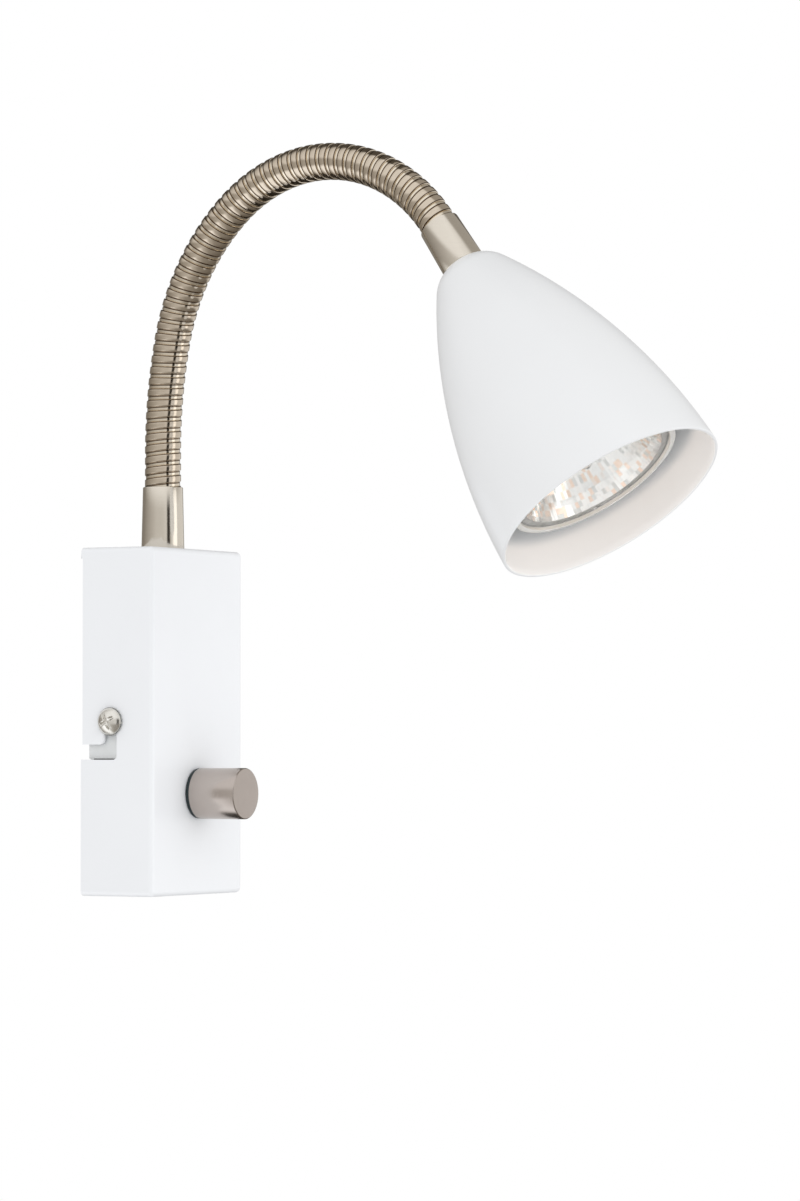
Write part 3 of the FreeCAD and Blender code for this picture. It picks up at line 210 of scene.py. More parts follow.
class Paint:
    """A material and the graph behind its Principled shader."""

    def __init__(self, name, **constants):
        self.material = bpy.data.materials.new(name)
        self.material.use_nodes = True
        self.tree = self.material.node_tree
        self.shader = self.tree.nodes["Principled BSDF"]
        for socket, value in constants.items():
            self.shader.inputs[socket.replace("_", " ")].default_value = value

    def node(self, kind, settings=None, inputs=None, output=0):
        """Any node: its settings are set first, then its sockets by name or number."""
        made = self.tree.nodes.new("ShaderNode" + kind)
        for name, value in (settings or {}).items():
            if name == "stops":
                ramp = made.color_ramp.elements
                for index, (place, colour) in enumerate(value):
                    stop = ramp[index] if index < 2 else ramp.new(place)
                    stop.position, stop.color = place, (*colour, 1)
            else:
                setattr(made, name, value)
        for socket, value in (inputs or {}).items():
            if isinstance(value, Link):
                self.tree.links.new(value.socket, made.inputs[socket])
            else:
                made.inputs[socket].default_value = value
        return Link(self, made.outputs[output])

    def feed(self, socket, value):
        """Leads a link into the shader."""
        self.tree.links.new(value.socket, self.shader.inputs[socket])

    def place(self):
        """Where on the object, in metres."""
        return self.node("TexCoord", output="Object")

    def axes(self, where):
        """The X, Y and Z of a place, each as a link."""
        return [self.node("SeparateXYZ", inputs={"Vector": where}, output=axis) for axis in "XYZ"]

    def stretched(self, where, scale):
        """The same place with each axis scaled, which stretches a pattern."""
        return self.node("VectorMath", {"operation": "MULTIPLY"}, {0: where, 1: scale})

    def noise(self, where, scale, detail=3.0, roughness=0.5):
        return self.node("TexNoise", inputs={
            "Vector": where, "Scale": scale, "Detail": detail, "Roughness": roughness})

    def ramp(self, value, *stops):
        return self.node("ValToRGB", {"stops": stops}, {"Fac": value})

    def blend(self, share, first, second):
        """From the first colour to the second as share goes from 0 to 1."""
        return self.node("Mix", {"data_type": "RGBA"}, {0: share, 6: first, 7: second}, 2)

    def bump(self, height, strength, depth):
        self.feed("Normal", self.node("Bump", inputs={
            "Strength": strength, "Distance": depth, "Height": height}))


def duller(colour, share):
    """A darker shade of a colour, with the alpha that a Mix node wants."""
    return (*(value * share for value in colour), 1)


finish = {}
print("paints ready")

# %% [markdown]
# ## White enamel
# The box and the shade are sprayed with white enamel: nearly plain, a little cool, with a fine
# orange-peel surface that only shows in the highlights. A flat colour would look like paper, so
# noise moves the colour by a few hundredths and a bump of the same grain roughens the gloss. The
# shade's copy of the enamel is a touch greyer than the box's, as painted shade for the dimmer light
# on the shade.

# %% White enamel


def enamel(name, colour, roughness):
    paint = Paint(name, Coat_Weight=0.15, Coat_Roughness=0.2)
    where = paint.place()
    cloud = paint.noise(where, 45.0, 2.0)
    peel = paint.noise(where, 1400.0, 2.0, 0.6)
    paint.feed("Base Color", paint.blend(cloud, duller(colour, 0.975), (*colour, 1)))
    paint.feed("Roughness", peel * 0.08 + roughness)
    paint.bump(peel, 0.10, 0.0002)
    return paint.material


finish["white_enamel"] = enamel("white_enamel", (0.895, 0.910, 0.935), 0.34)
# Painted shade: the box's white made a touch greyer for the shade.
finish["shade_enamel"] = enamel("shade_enamel", (0.862, 0.872, 0.884), 0.36)
print("enamels", sorted(finish))

# %% [markdown]
# ## Metals
# Turned and drawn metal carries hairlines that run round the piece. They could be an anisotropic
# shader, but that has to know the direction at every point. Noise that is squeezed along the axis
# draws them with less: it breaks a highlight into fine streaks across that axis. Cast and plated
# small parts have the same noise left even in all directions.

# %% Metals
ROUND_Z, ROUND_Y, NO_HAIRS = (1.0, 1.0, 40.0), (1.0, 40.0, 1.0), (1.0, 1.0, 1.0)


def metal(name, colour, roughness, hairs=ROUND_Z, scale=160.0, spread=0.12, metallic=1.0):
    """A metal whose hairlines run round one axis."""
    paint = Paint(name, Metallic=metallic)
    streak = paint.noise(paint.stretched(paint.place(), hairs), scale, 4.0, 0.65)
    paint.feed("Base Color", paint.blend(streak, duller(colour, 0.86), (*colour, 1)))
    paint.feed("Roughness", streak * spread + roughness)
    paint.bump(streak, 0.05, 0.0001)
    return paint.material


finish["nickel"] = metal("nickel", (0.80, 0.74, 0.65), 0.10, spread=0.08)
finish["knob_metal"] = metal("knob_metal", (0.56, 0.50, 0.46), 0.19, ROUND_Y)
finish["zinc"] = metal("zinc", (0.70, 0.70, 0.67), 0.30, NO_HAIRS, 600.0)
finish["galvanised"] = metal("galvanised", (0.84, 0.86, 0.87), 0.40, NO_HAIRS, 220.0, 0.2, 0.35)
finish["brass"] = metal("brass", (0.78, 0.58, 0.28), 0.25)
print("metals", sorted(finish))

# %% [markdown]
# ## The heads of the side screws
# A cross recess a few tenths deep looks black, because shadow fills it. At this size the rendered
# shadow is too faint, so shade is painted into the metal itself. It darkens with depth: how far a
# point stands out from the side of the box tells the recess and the head's foot from the top of the
# dome.

# %% Screw heads
# The painted shade is darkest this far out from the box's side and gone at the top of the head.
RECESS_FLOOR, HEAD_TOP = 0.75, 1.35


def screw_head():
    """Zinc with painted shade: dark in the cross recess and round the head's foot."""
    paint = Paint("screw_head", Metallic=1.0)
    out = paint.axes(paint.place())[0].absolute() / mm - BOX_HALF_WIDTH
    speck = paint.noise(paint.place(), 700.0)
    # Painted shade: near black at the recess floor and the head's foot, zinc on top of the dome.
    painted_recess_shade = paint.ramp(out + speck * 0.3, (RECESS_FLOOR, (0.03, 0.03, 0.03)),
                       (HEAD_TOP, (0.80, 0.78, 0.73)))
    paint.feed("Base Color", painted_recess_shade)
    paint.feed("Roughness", speck * 0.10 + 0.16)
    return paint.material


finish["screw_head"] = screw_head()
print("screw heads dark below", RECESS_FLOOR, "mm")

# %% [markdown]
# ## Plastics, rubber and ceramic
# Moulded pieces take the fine grain of their mould and stay matt, and the holder and the bulb's
# base are unglazed ceramic, coarser still. One recipe does for all of them: a speck in the colour
# and a bump of the same grain. Most sit inside the box, where only their colour counts.

# %% Moulded pieces


def moulded(name, colour, roughness, grain=900.0, strength=0.12):
    paint = Paint(name)
    speck = paint.noise(paint.place(), grain, 3.0)
    paint.feed("Base Color", paint.blend(speck, duller(colour, 0.82), (*colour, 1)))
    paint.feed("Roughness", speck * 0.15 + roughness)
    paint.bump(speck, strength, 0.0001)
    return paint.material


for name, colour, roughness in (
        ("black_plastic", (0.006, 0.020, 0.024), 0.30), ("grey_rubber", (0.10, 0.10, 0.10), 0.7),
        ("board", (0.42, 0.28, 0.12), 0.5), ("component", (0.05, 0.05, 0.055), 0.45),
        ("yellow_film", (0.80, 0.55, 0.08), 0.3), ("ferrite", (0.06, 0.055, 0.05), 0.6),
        ("white_plastic", (0.80, 0.79, 0.74), 0.45),
        ("wire_insulation", (0.30, 0.12, 0.05), 0.35),
        ("lead_sheath", (0.80, 0.80, 0.78), 0.4)):
    finish[name] = moulded(name, colour, roughness)
finish["ceramic"] = moulded("ceramic", (0.86, 0.84, 0.78), 0.75, 1800.0, 0.2)
print("finishes so far", len(finish))

# %% [markdown]
# ## Glass and the mirror behind it
# The front of the bulb is clear glass. Its pressed bowl is thick and milky at the rim, so it lets
# through only part of the light. The mirror inside is a coat thinner than a wavelength that
# passes warm light, so each facet shows white, grey or salmon. The tint belongs to whole facets
# and not to places, so it is read from a number that every face carries.

# %% Glass and mirror


def clear_glass(name, tint, roughness=0.03, clear=1.0):
    paint = Paint(name, Transmission_Weight=clear, IOR=1.46)
    ripple = paint.noise(paint.place(), 120.0, 2.0)
    paint.feed("Base Color", paint.blend(ripple, (*tint, 1), (1, 1, 1, 1)))
    paint.feed("Roughness", ripple * 0.03 + roughness)
    return paint.material


def faceted_mirror():
    """A mirror with a tint for each facet, read from the face attribute named facet."""
    paint = Paint("mirror", Metallic=1.0)
    facet = paint.node("Attribute", {"attribute_name": "facet"}, output="Fac")
    cloud = paint.noise(paint.place(), 300.0)
    tint = paint.ramp(facet + cloud * 0.1, (0.16, (0.72, 0.72, 0.70)), (0.26, (0.96, 0.95, 0.93)),
                      (0.86, (0.97, 0.96, 0.94)), (0.94, (0.94, 0.74, 0.60)))
    paint.feed("Base Color", tint)
    paint.feed("Roughness", cloud * 0.06 + 0.03)
    return paint.material


finish["clear_glass"] = clear_glass("clear_glass", (0.97, 0.98, 0.98))
finish["reflector_glass"] = clear_glass("reflector_glass", (0.80, 0.80, 0.75), 0.08, 0.4)
finish["mirror"] = faceted_mirror()
print("glass and mirror ready")

# %% [markdown]
# ## Finishes for the pieces that stay as they are
# The record names a finish for every piece. The hidden ones keep their shape and only get it
# painted on. Every piece is painted here, also those that are replaced further on, so that none
# is forgotten.

# %% Paint every node of the frame


def wear(piece, name):
    """Puts one finish on a piece."""
    piece.data.materials.clear()
    piece.data.materials.append(finish[name])


for part in frame["record"]["subparts"]:
    wear(frame["nodes"][part["node"]], part["material_slot"])
wear(frame["nodes"]["knob_cap"], "knob_metal")

# %% [markdown]
# ## Tools for modelling
# The ferrules, the shade, the knob and the bulb are all turned or spun on the real lamp. The Spin
# tool could sweep their outlines, but raising them as on a lathe keeps every step visible: a
# circle is extruded from ring to ring and scaled to each radius. The helper takes the outline as
# radius and height in millimetres.

# %% Start, finish and place a piece


def start():
    """Leaves edit mode and selects nothing, so that an operator acts on the new piece alone."""
    if bpy.context.object and bpy.context.object.mode != "OBJECT":
        bpy.ops.object.mode_set(mode="OBJECT")
    bpy.ops.object.select_all(action="DESELECT")


def finished(name, body, look, stands_for=(), place=None, angle=35.0):
    """Names, places and paints the active piece and lets it ride on a body."""
    bpy.ops.object.mode_set(mode="OBJECT")
    piece = bpy.context.object
    if place is not None:
        piece.matrix_world = place @ piece.matrix_world
    bpy.ops.object.transform_apply(location=True, rotation=True, scale=True)
    bpy.ops.object.shade_smooth_by_angle(angle=radians(angle))
    piece.name = piece.data.name = name
    wear(piece, look)
    if body:
        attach(piece, body)
    if stands_for:
        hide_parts(*stands_for)
    return piece


print("piece helpers ready")

# %% The lathe
WELD = 0.002 * mm
POLE = 0.01


def outward():
    """Welds the piece in edit mode and turns its faces outwards."""
    bpy.ops.mesh.select_all(action="SELECT")
    bpy.ops.mesh.remove_doubles(threshold=WELD)
    bpy.ops.mesh.normals_make_consistent(inside=False)


def lathe(outline, steps=96):
    """Raises a turned piece ring by ring and leaves it in edit mode. An outline that comes back
    to its first point closes on itself, and a radius of 0 closes in a pole, which is a tiny ring
    until it is welded."""
    start()
    radius, height = outline[0]
    bpy.ops.mesh.primitive_circle_add(vertices=steps, radius=max(radius, POLE) * mm)
    bpy.ops.object.mode_set(mode="EDIT")
    bpy.ops.transform.translate(value=(0, 0, height * mm))
    for next_radius, next_height in outline[1:]:
        bpy.ops.mesh.extrude_region_move(
            TRANSFORM_OT_translate={"value": (0, 0, (next_height - height) * mm)})
        grow = max(next_radius, POLE) / max(radius, POLE)
        bpy.ops.transform.resize(value=(grow, grow, 1), center_override=(0, 0, 0))
        radius, height = next_radius, next_height
    if 0 in (outline[0][0], outline[-1][0]):
        bpy.ops.mesh.select_all(action="SELECT")
        bpy.ops.mesh.remove_doubles(threshold=2.5 * POLE * mm)
    outward()


def arc_points(across, up, radius, begin, end, count):
    """Points of an arc in an outline, angles in radians from +across."""
    turns = [begin + (end - begin) * step / count for step in range(count + 1)]
    return [(across + radius * cos(turn), up + radius * sin(turn)) for turn in turns]


print("lathe ready")

# %% [markdown]
# ## The line of the neck
# The neck leaves its lower ferrule straight up and then bends over in three arcs that run into
# each other without a corner, in one upright plane that is turned a little to the left. A ribbed
# tube is hard to model bent, so its pieces are modelled straight and then laid along this line.

# %% The line of the neck
FERRULE_TOP = Vector((0, -BOX_DEPTH / 2, BOX_TOP + FERRULE_LOW))
YAW = radians(-7.0)
RUNS = ((10.2, 0.0), (31.045, 147.0), (42.982, 64.3), (79.365, 48.4))
NECK = sum(length for length, _ in RUNS)
PITCH = 3.146


def on_neck(along):
    """Place on the neck's line: +Z runs towards the head, +X is square to the neck's plane."""
    across = up = lean = 0.0
    left = along
    for length, radius in RUNS:
        step = min(left, length)
        if radius:
            turn = step / radius
            across += radius * (cos(lean) - cos(lean + turn))
            up += radius * (sin(lean + turn) - sin(lean))
            lean += turn
        else:
            up += step
        left -= step
        if left <= 0:
            break
    across += max(left, 0) * sin(lean)
    up += max(left, 0) * cos(lean)
    spin = Matrix.Rotation(YAW, 4, "Z")
    foot = FERRULE_TOP + spin @ Vector((0, -across, up))
    return Matrix.Translation(foot * mm) @ spin @ Matrix.Rotation(lean, 4, "X")


print("neck", round(NECK, 1), "mm")

# %% [markdown]
# A curve object carries the same line, for a Curve modifier to follow. It goes on straight at
# both ends, because the neck and its lead reach into the ferrules. A Bezier segment draws an arc
# almost exactly when its handles have the right length.

# %% A curve along that line
BEFORE, AFTER = 60.0, 60.0
LONGEST_ARC = 60.0


def handle(length, radius):
    """Length of a Bezier handle that draws an arc, or a straight run, of that length."""
    return 4 / 3 * tan(length / radius / 4) * radius if radius else length / 3


def neck_curve():
    """A Bezier curve with a knot at both ends of each arc and in the middle of a long one."""
    pieces = [(BEFORE, 0.0)]
    for length, radius in RUNS:
        parts = 2 if length > LONGEST_ARC else 1
        pieces += [(length / parts, radius)] * parts
    pieces.append((AFTER, 0.0))
    curve = bpy.data.curves.new("neck_line", "CURVE")
    curve.dimensions = "3D"
    curve.resolution_u = 64
    spline = curve.splines.new("BEZIER")
    spline.bezier_points.add(len(pieces))
    along = -BEFORE
    for index, knot in enumerate(spline.bezier_points):
        before, after = pieces[max(index - 1, 0)], pieces[min(index, len(pieces) - 1)]
        here = on_neck(along)
        ahead = here.to_3x3() @ Vector((0, 0, 1))
        knot.co = here.translation
        knot.handle_left_type = knot.handle_right_type = "FREE"
        knot.handle_left = here.translation - ahead * handle(*before) * mm
        knot.handle_right = here.translation + ahead * handle(*after) * mm
        along += after[0]
    line = bpy.data.objects.new("neck_line", curve)
    scene.collection.objects.link(line)
    return line


neck_line = neck_curve()
print("curve knots", len(neck_line.data.splines[0].bezier_points))

# %% [markdown]
# ## The wound neck
# The real neck is one steel strip, folded at its edges and wound so that each turn hooks into the
# last. From outside it shows a proud band, a narrow recessed strip and a dark seam at each side of
# it, all as one right-handed screw. A row of rings would be easier, but the rings would lie square
# across and the real turns slant. So a Screw modifier winds the strip's outline, and a Curve
# modifier lays it along the line. There is one stretch for every joint.

# %% The strip's outline, as radius and height over one turn
RECESS, SEAM, BAND = 4.82, 4.62, 5.10
STRIP = ((RECESS, 0.00), (RECESS, 0.40), (SEAM, 0.48), (SEAM, 0.54), (4.94, 0.60), (5.05, 0.68),
         (BAND, 0.84), (BAND, 1.57), (BAND, 2.31), (5.05, 2.47), (4.94, 2.55), (SEAM, 2.61),
         (SEAM, 2.67), (RECESS, 2.75), (RECESS, PITCH))
JOINTS, LINK_TURNS, END_TURNS = 13, 4, 2
HIDDEN_TURNS = 3
print("strip points", len(STRIP), "turns", JOINTS * LINK_TURNS)

# %% [markdown]
# The strip's finish follows the winding: how far a point is through its turn tells band, seam and
# recess apart. That needs the place before bending, which every point keeps as an attribute.

# %% The finish of the wound strip


def hose_finish():
    """Nickel with hairlines that run round the hose and brown seams beside the recess."""
    paint = Paint("hose_nickel", Metallic=1.0)
    straight = paint.node("Attribute", {"attribute_name": "straight"}, output="Vector")
    x, y, z = paint.axes(straight)
    through_turn = (z / (PITCH * mm) - y.turn_from(x)).fraction()
    from_band = (through_turn - 0.5).absolute()
    recess = paint.ramp(from_band, (0.335, (0, 0, 0)), (0.345, (1, 1, 1)))
    seam = paint.ramp(from_band, (0.288, (0, 0, 0)), (0.308, (1, 1, 1)), (0.358, (1, 1, 1)),
                      (0.380, (0, 0, 0)))
    hairs = paint.noise(paint.stretched(straight, (1.0, 1.0, 30.0)), 260.0, 4.0, 0.7)
    band = paint.blend(hairs, (0.46, 0.38, 0.29, 1), (0.86, 0.77, 0.65, 1))
    clean = paint.blend(recess, band, (0.78, 0.70, 0.58, 1))
    paint.feed("Base Color", paint.blend(seam, clean, (0.055, 0.026, 0.012, 1)))
    paint.feed("Roughness", hairs * 0.10 + 0.07)
    paint.bump(hairs, 0.05, 0.0001)
    return paint.material


finish["hose"] = hose_finish()
print("hose finish", finish["hose"].name)

# %% [markdown]
# A stretch is wound once, where the curve begins. Those of the middle are copies of one, each
# moved up by its number of turns and then bent, which is how the turns of neighbours meet.

# %% Wind a stretch, copy it and lay it along the line


def wound(turns, steps=60):
    """A straight stretch of wound strip that stands where the curve begins."""
    start()
    bpy.ops.mesh.primitive_plane_add(size=1 * mm)
    bpy.ops.object.mode_set(mode="EDIT")
    bpy.ops.mesh.merge(type="CENTER")
    radius, height = STRIP[0]
    bpy.ops.transform.translate(value=(radius * mm, 0, BEFORE * mm))
    for next_radius, next_height in STRIP[1:]:
        bpy.ops.mesh.extrude_region_move(TRANSFORM_OT_translate={
            "value": ((next_radius - radius) * mm, 0, (next_height - height) * mm)})
        radius, height = next_radius, next_height
    bpy.ops.object.mode_set(mode="OBJECT")
    piece = bpy.context.object
    wind = piece.modifiers.new("wind", "SCREW")
    wind.steps = wind.render_steps = steps
    wind.iterations = turns
    wind.screw_offset = PITCH * mm
    bpy.ops.object.modifier_apply(modifier="wind")
    bpy.ops.object.mode_set(mode="EDIT")
    outward()
    bpy.ops.object.mode_set(mode="OBJECT")
    return piece


def copied(source):
    """A copy with a mesh of its own, alone selected and active."""
    start()
    copy = source.copy()
    copy.data = source.data.copy()
    scene.collection.objects.link(copy)
    bpy.context.view_layer.objects.active = copy
    copy.select_set(True)
    return copy


def bent(piece, rise):
    """Moves the active straight piece up, notes where its points are and bends it along the
    neck's line."""
    bpy.ops.object.mode_set(mode="EDIT")
    bpy.ops.mesh.select_all(action="SELECT")
    bpy.ops.transform.translate(value=(0, 0, rise * mm))
    bpy.ops.object.mode_set(mode="OBJECT")
    store = piece.data.attributes.new("straight", "FLOAT_VECTOR", "POINT")
    for point, spot in zip(piece.data.vertices, store.data):
        spot.vector = point.co
    bend = piece.modifiers.new("bend", "CURVE")
    bend.object = neck_line
    bend.deform_axis = "POS_Z"
    bpy.ops.object.modifier_apply(modifier="bend")
    return piece


print("strip tools ready")

# %% [markdown]
# At a joint a real neck bends over a few turns, and a frame of rigid links can't show that. Here
# each stretch is only laid along the line as it lies at rest, and follows no body.

# %% The stretches of the hose
BLEND = 3


def ride_both(piece, joint):
    """Bakes a stretch's placement into its mesh; the neck's places either side of its joint are
    worked out but not used.
    """
    middle = (END_TURNS + LINK_TURNS * joint) * PITCH
    on_neck(middle - BLEND).translation
    on_neck(middle + BLEND).translation
    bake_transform(piece)


middle_stretch = wound(LINK_TURNS)
for joint in range(JOINTS):
    turns_below = LINK_TURNS * joint
    if joint == 0:
        turns_below -= HIDDEN_TURNS
        straight = wound(LINK_TURNS + HIDDEN_TURNS)
    elif joint == JOINTS - 1:
        straight = wound(LINK_TURNS + HIDDEN_TURNS - 1)
    else:
        straight = copied(middle_stretch)
    stretch = bent(straight, turns_below * PITCH)
    stands_for = [f"neck_link_{joint + 1:02d}"]
    if joint == JOINTS - 1:
        stands_for.append(f"neck_link_{JOINTS + 1:02d}")
    finished(f"hose_{joint + 1:02d}", None, "hose", stands_for)
    ride_both(stretch, joint)
bpy.data.objects.remove(middle_stretch)
print("stretches of hose", JOINTS)

# %% [markdown]
# ## The lead inside the neck
# A round two-core lead runs through the neck to the lamp holder. It can't be seen, but it has to
# bend with the neck, so it is made like the hose: straight lengths with enough rings to bend
# smoothly, cut at the same places and laid along the same line.

# %% The lead
LEAD_RADIUS = 2.15
LEAD_LOW, LEAD_HIGH = -39.4, NECK + FERRULE_HIGH + 11.2
RING_SPACING = 3


def lead_length(length):
    """A straight length of lead that stands where the curve begins."""
    rings = max(2, int(length / RING_SPACING))
    heights = [BEFORE + length * step / rings for step in range(rings + 1)]
    side = [(LEAD_RADIUS, height) for height in heights]
    lathe([(0, heights[0])] + side + [(0, heights[-1])], 24)
    bpy.ops.object.mode_set(mode="OBJECT")
    return bpy.context.object


middle_length = lead_length(LINK_TURNS * PITCH)
for joint in range(JOINTS):
    low = LEAD_LOW if joint == 0 else LINK_TURNS * joint * PITCH
    if joint == 0:
        straight = lead_length(LINK_TURNS * PITCH - LEAD_LOW)
    elif joint == JOINTS - 1:
        straight = lead_length(LEAD_HIGH - low)
    else:
        straight = copied(middle_length)
    stretch = bent(straight, low)
    finished(f"lead_{joint + 1:02d}", None, "lead_sheath",
             ["neck_lead"] if joint == 0 else ())
    ride_both(stretch, joint)
bpy.data.objects.remove(middle_length)
print("lead", round(LEAD_HIGH - LEAD_LOW, 1), "mm")

# %% [markdown]
# ## The ferrules
# A ferrule is a tapered sleeve of drawn brass, nickel plated, with edges that the plating has
# softened. Its wide end stands on the box or on the shade, its narrow end grips the hose. Both
# come from one outline of their own length. The soft edge is three points and no Bevel modifier,
# because on a turned piece that is exact and costs two rings.

# %% The ferrules
BASE_RADIUS, TIP_RADIUS = 6.05, 5.65
SOFT, CORNER = 0.25, 0.07
GRIP, GRIP_DEPTH = 5.15, 4


def ferrule(name, body, length, place, node):
    """A sleeve that stands on place and replaces a node."""
    lathe([(GRIP, length - GRIP_DEPTH), (GRIP, length - 0.1), (GRIP + 0.1, length),
           (TIP_RADIUS - SOFT, length), (TIP_RADIUS - CORNER, length - CORNER),
           (TIP_RADIUS, length - SOFT), ((TIP_RADIUS + BASE_RADIUS) / 2, length / 2),
           (BASE_RADIUS, SOFT), (BASE_RADIUS - CORNER, CORNER), (BASE_RADIUS - SOFT, 0),
           (GRIP - 0.2, 0), (GRIP - 0.2, length - GRIP_DEPTH), (GRIP, length - GRIP_DEPTH)])
    return finished(name, body, "nickel", [node], place)


foot = Matrix.Translation(Vector((0, -BOX_DEPTH / 2, BOX_TOP)) * mm)
crown = on_neck(NECK + FERRULE_HIGH) @ Matrix.Rotation(pi, 4, "X")
ferrule("ferrule_low", "base", FERRULE_LOW, foot, "lower_ferrule")
ferrule("ferrule_high", "head", FERRULE_HIGH, crown, "upper_ferrule")
print("crown at", [round(value / mm, 1) for value in crown.translation])

# %% [markdown]
# ## The shade
# The shade is spun from sheet steel over a former: a long even curve from the mouth, a tighter
# one over the shoulder and a small flat for the ferrule. Both curves are arcs that touch without
# a corner, so the second arc's middle is worked out from the first. The wall goes round as one
# closed outline, which keeps it equally thick, with the mouth's edge a little rounded.

# %% The curves of the shade
MOUTH, WALL = 32.5, 0.9
BODY_RADIUS, SHOULDER_RADIUS, CROWN_RADIUS, HOLE_RADIUS = 162.2, 10.6, 6.1, 4.15
SLOPE, LIP_TURN = radians(1.7), 0.0015
BODY_STEPS, SHOULDER_STEPS = 40, 14
long_x, long_y = MOUTH - BODY_RADIUS * cos(SLOPE), -SHADE - BODY_RADIUS * sin(SLOPE)
between = BODY_RADIUS - SHOULDER_RADIUS
reach = hypot(CROWN_RADIUS - long_x, long_y)
spread = acos((between ** 2 + reach ** 2 - SHOULDER_RADIUS ** 2) / (2 * between * reach))
shoulder = atan2(-long_y, CROWN_RADIUS - long_x) - spread
short_x, short_y = long_x + between * cos(shoulder), long_y + between * sin(shoulder)
top = atan2(-short_y, CROWN_RADIUS - short_x)
print("shoulder from", round(degrees(shoulder), 1), "to", round(degrees(top), 1), "degrees")

# %% The shade
outside = (arc_points(long_x, long_y, BODY_RADIUS, SLOPE + LIP_TURN, shoulder, BODY_STEPS)
           + arc_points(short_x, short_y, SHOULDER_RADIUS, shoulder, top, SHOULDER_STEPS)[1:])
leans = ([SLOPE + (shoulder - SLOPE) * step / BODY_STEPS for step in range(BODY_STEPS + 1)]
         + [shoulder + (top - shoulder) * (step + 1) / SHOULDER_STEPS
            for step in range(SHOULDER_STEPS)])
inside = [(radius - WALL * cos(lean), height - WALL * sin(lean))
          for (radius, height), lean in zip(outside, leans)]
lip = [(MOUTH - WALL + 0.05, -SHADE + 0.12), (MOUTH - WALL + 0.22, -SHADE),
       (MOUTH - 0.22, -SHADE), (MOUTH - 0.05, -SHADE + 0.10)]
lathe(lip + outside + [(HOLE_RADIUS, 0), (HOLE_RADIUS, -WALL)] + inside[::-1] + lip[:1], 160)
finished("shade_shell", "head", "shade_enamel", ["shade"], crown, 50.0)
print("shade", len(bpy.context.object.data.vertices), "points")

# %% [markdown]
# ## The knob
# A turned metal cap with a fine bevel round its face is pressed on a black moulded insert, whose
# collar shows in the gap between the cap and the box. The collar is nearly as wide as the cap,
# because a narrower one would be lost behind it. Both outlines are raised along +Z and then
# tipped to face the room.

# %% The knob
CAP, CAP_BORE, CAP_FRONT, GAP = 7.15, 6.65, 15.60, 1.20
COLLAR, STEM = 7.05, 3.1
facing = (Matrix.Translation(Vector((0, -BOX_DEPTH, KNOB_UP)) * mm)
          @ Matrix.Rotation(pi / 2, 4, "X"))
lathe([(0, CAP_FRONT - GAP), (CAP_BORE, CAP_FRONT - GAP), (CAP_BORE, GAP), (CAP - 0.10, GAP),
       (CAP - 0.03, GAP + 0.03), (CAP, GAP + 0.12), (CAP, 8.0), (CAP, CAP_FRONT - 0.30),
       (CAP - 0.05, CAP_FRONT - 0.18), (CAP - 0.22, CAP_FRONT - 0.02), (CAP - 0.30, CAP_FRONT),
       (3.5, CAP_FRONT), (0, CAP_FRONT)], 128)
finished("knob_cover", "knob", "knob_metal", ["knob_cap"], facing, 25.0)
lathe([(6.15, 0.15), (COLLAR - 0.10, 0.15), (COLLAR, 0.25), (COLLAR, GAP - 0.02),
       (6.6, GAP - 0.01), (6.6, 4.6), (STEM, 4.6), (STEM, 4.55), (6.15, 4.55), (6.15, 0.15)], 96)
finished("knob_collar", "knob", "black_plastic", ["knob_insert"], facing)
print("knob stands", CAP_FRONT, "mm proud")

# %% [markdown]
# ## The bulb
# The reflector bulb is a pressed glass bowl, mirrored inside with rings of small flat facets
# that mix the light, and closed by a front glass. The facets are what gives it its sparkle: they
# are left flat and each is tilted a hair, by moving the points at random, so that neighbours
# reflect different things. The facets' heights are measured up from the bulb's face.

# %% The bulb's glass
FACE = 8.7 - SHADE
BULB = 28.0
lathe([(24.0, FACE), (24.7, FACE + 0.3), (25.0, FACE + 1.0), (25.0, FACE + 3.2),
       (23.5, FACE + 3.3), (21.6, FACE + 8.5), (18.6, FACE + 14.5), (15.2, FACE + 20.5),
       (11.0, FACE + BULB), (7.8, FACE + BULB), (7.8, FACE + 21.9), (10.9, FACE + 18.6),
       (13.7, FACE + 15.2), (16.1, FACE + 11.6), (18.2, FACE + 8.0), (19.9, FACE + 4.6),
       (21.2, FACE + 1.8), (23.0, FACE + 1.8), (23.0, FACE), (24.0, FACE)], 96)
finished("bulb_bowl", "head", "reflector_glass", ["bulb_reflector"], crown)
print("bulb", BULB, "mm deep")

# %% [markdown]
# Each facet of the mirror also gets a number, which its tint is read from. The numbers are dealt
# in the order of the faces, and Blender doesn't order an extruded piece's faces alike every time.
# So every run tints other facets, which numbers dealt by place would not do.

# %% The mirror's facets
MIRROR_RINGS = ((20.9, 1.8), (20.3, 3.1), (19.6, 4.6), (18.8, 6.3), (17.9, 8.1), (16.8, 10.0),
                (15.6, 11.9), (14.2, 14.0), (12.5, 16.3), (10.4, 18.8), (7.8, 21.8))
lathe([(radius, FACE + height) for radius, height in MIRROR_RINGS], 120)
bpy.ops.mesh.select_all(action="SELECT")
bpy.ops.mesh.flip_normals()
bpy.ops.transform.vertex_random(offset=0.06 * mm, seed=4)
facets = finished("bulb_mirror", "head", "mirror", (), crown, 1.0)
chance = random.Random(4)
for item in facets.data.attributes.new("facet", "FLOAT", "FACE").data:
    item.value = chance.random()
print("facets", len(facets.data.polygons))

# %% The bulb's front glass
lathe([(0, FACE + 0.6), (12, FACE + 0.62), (22.6, FACE + 0.75), (22.9, FACE + 1.0),
       (22.9, FACE + 1.8), (0, FACE + 1.8)], 96)
finished("bulb_lens", "head", "clear_glass", ["bulb_front_glass"], crown)
print("front glass", round(bpy.context.object.dimensions.x / mm, 1), "mm wide")

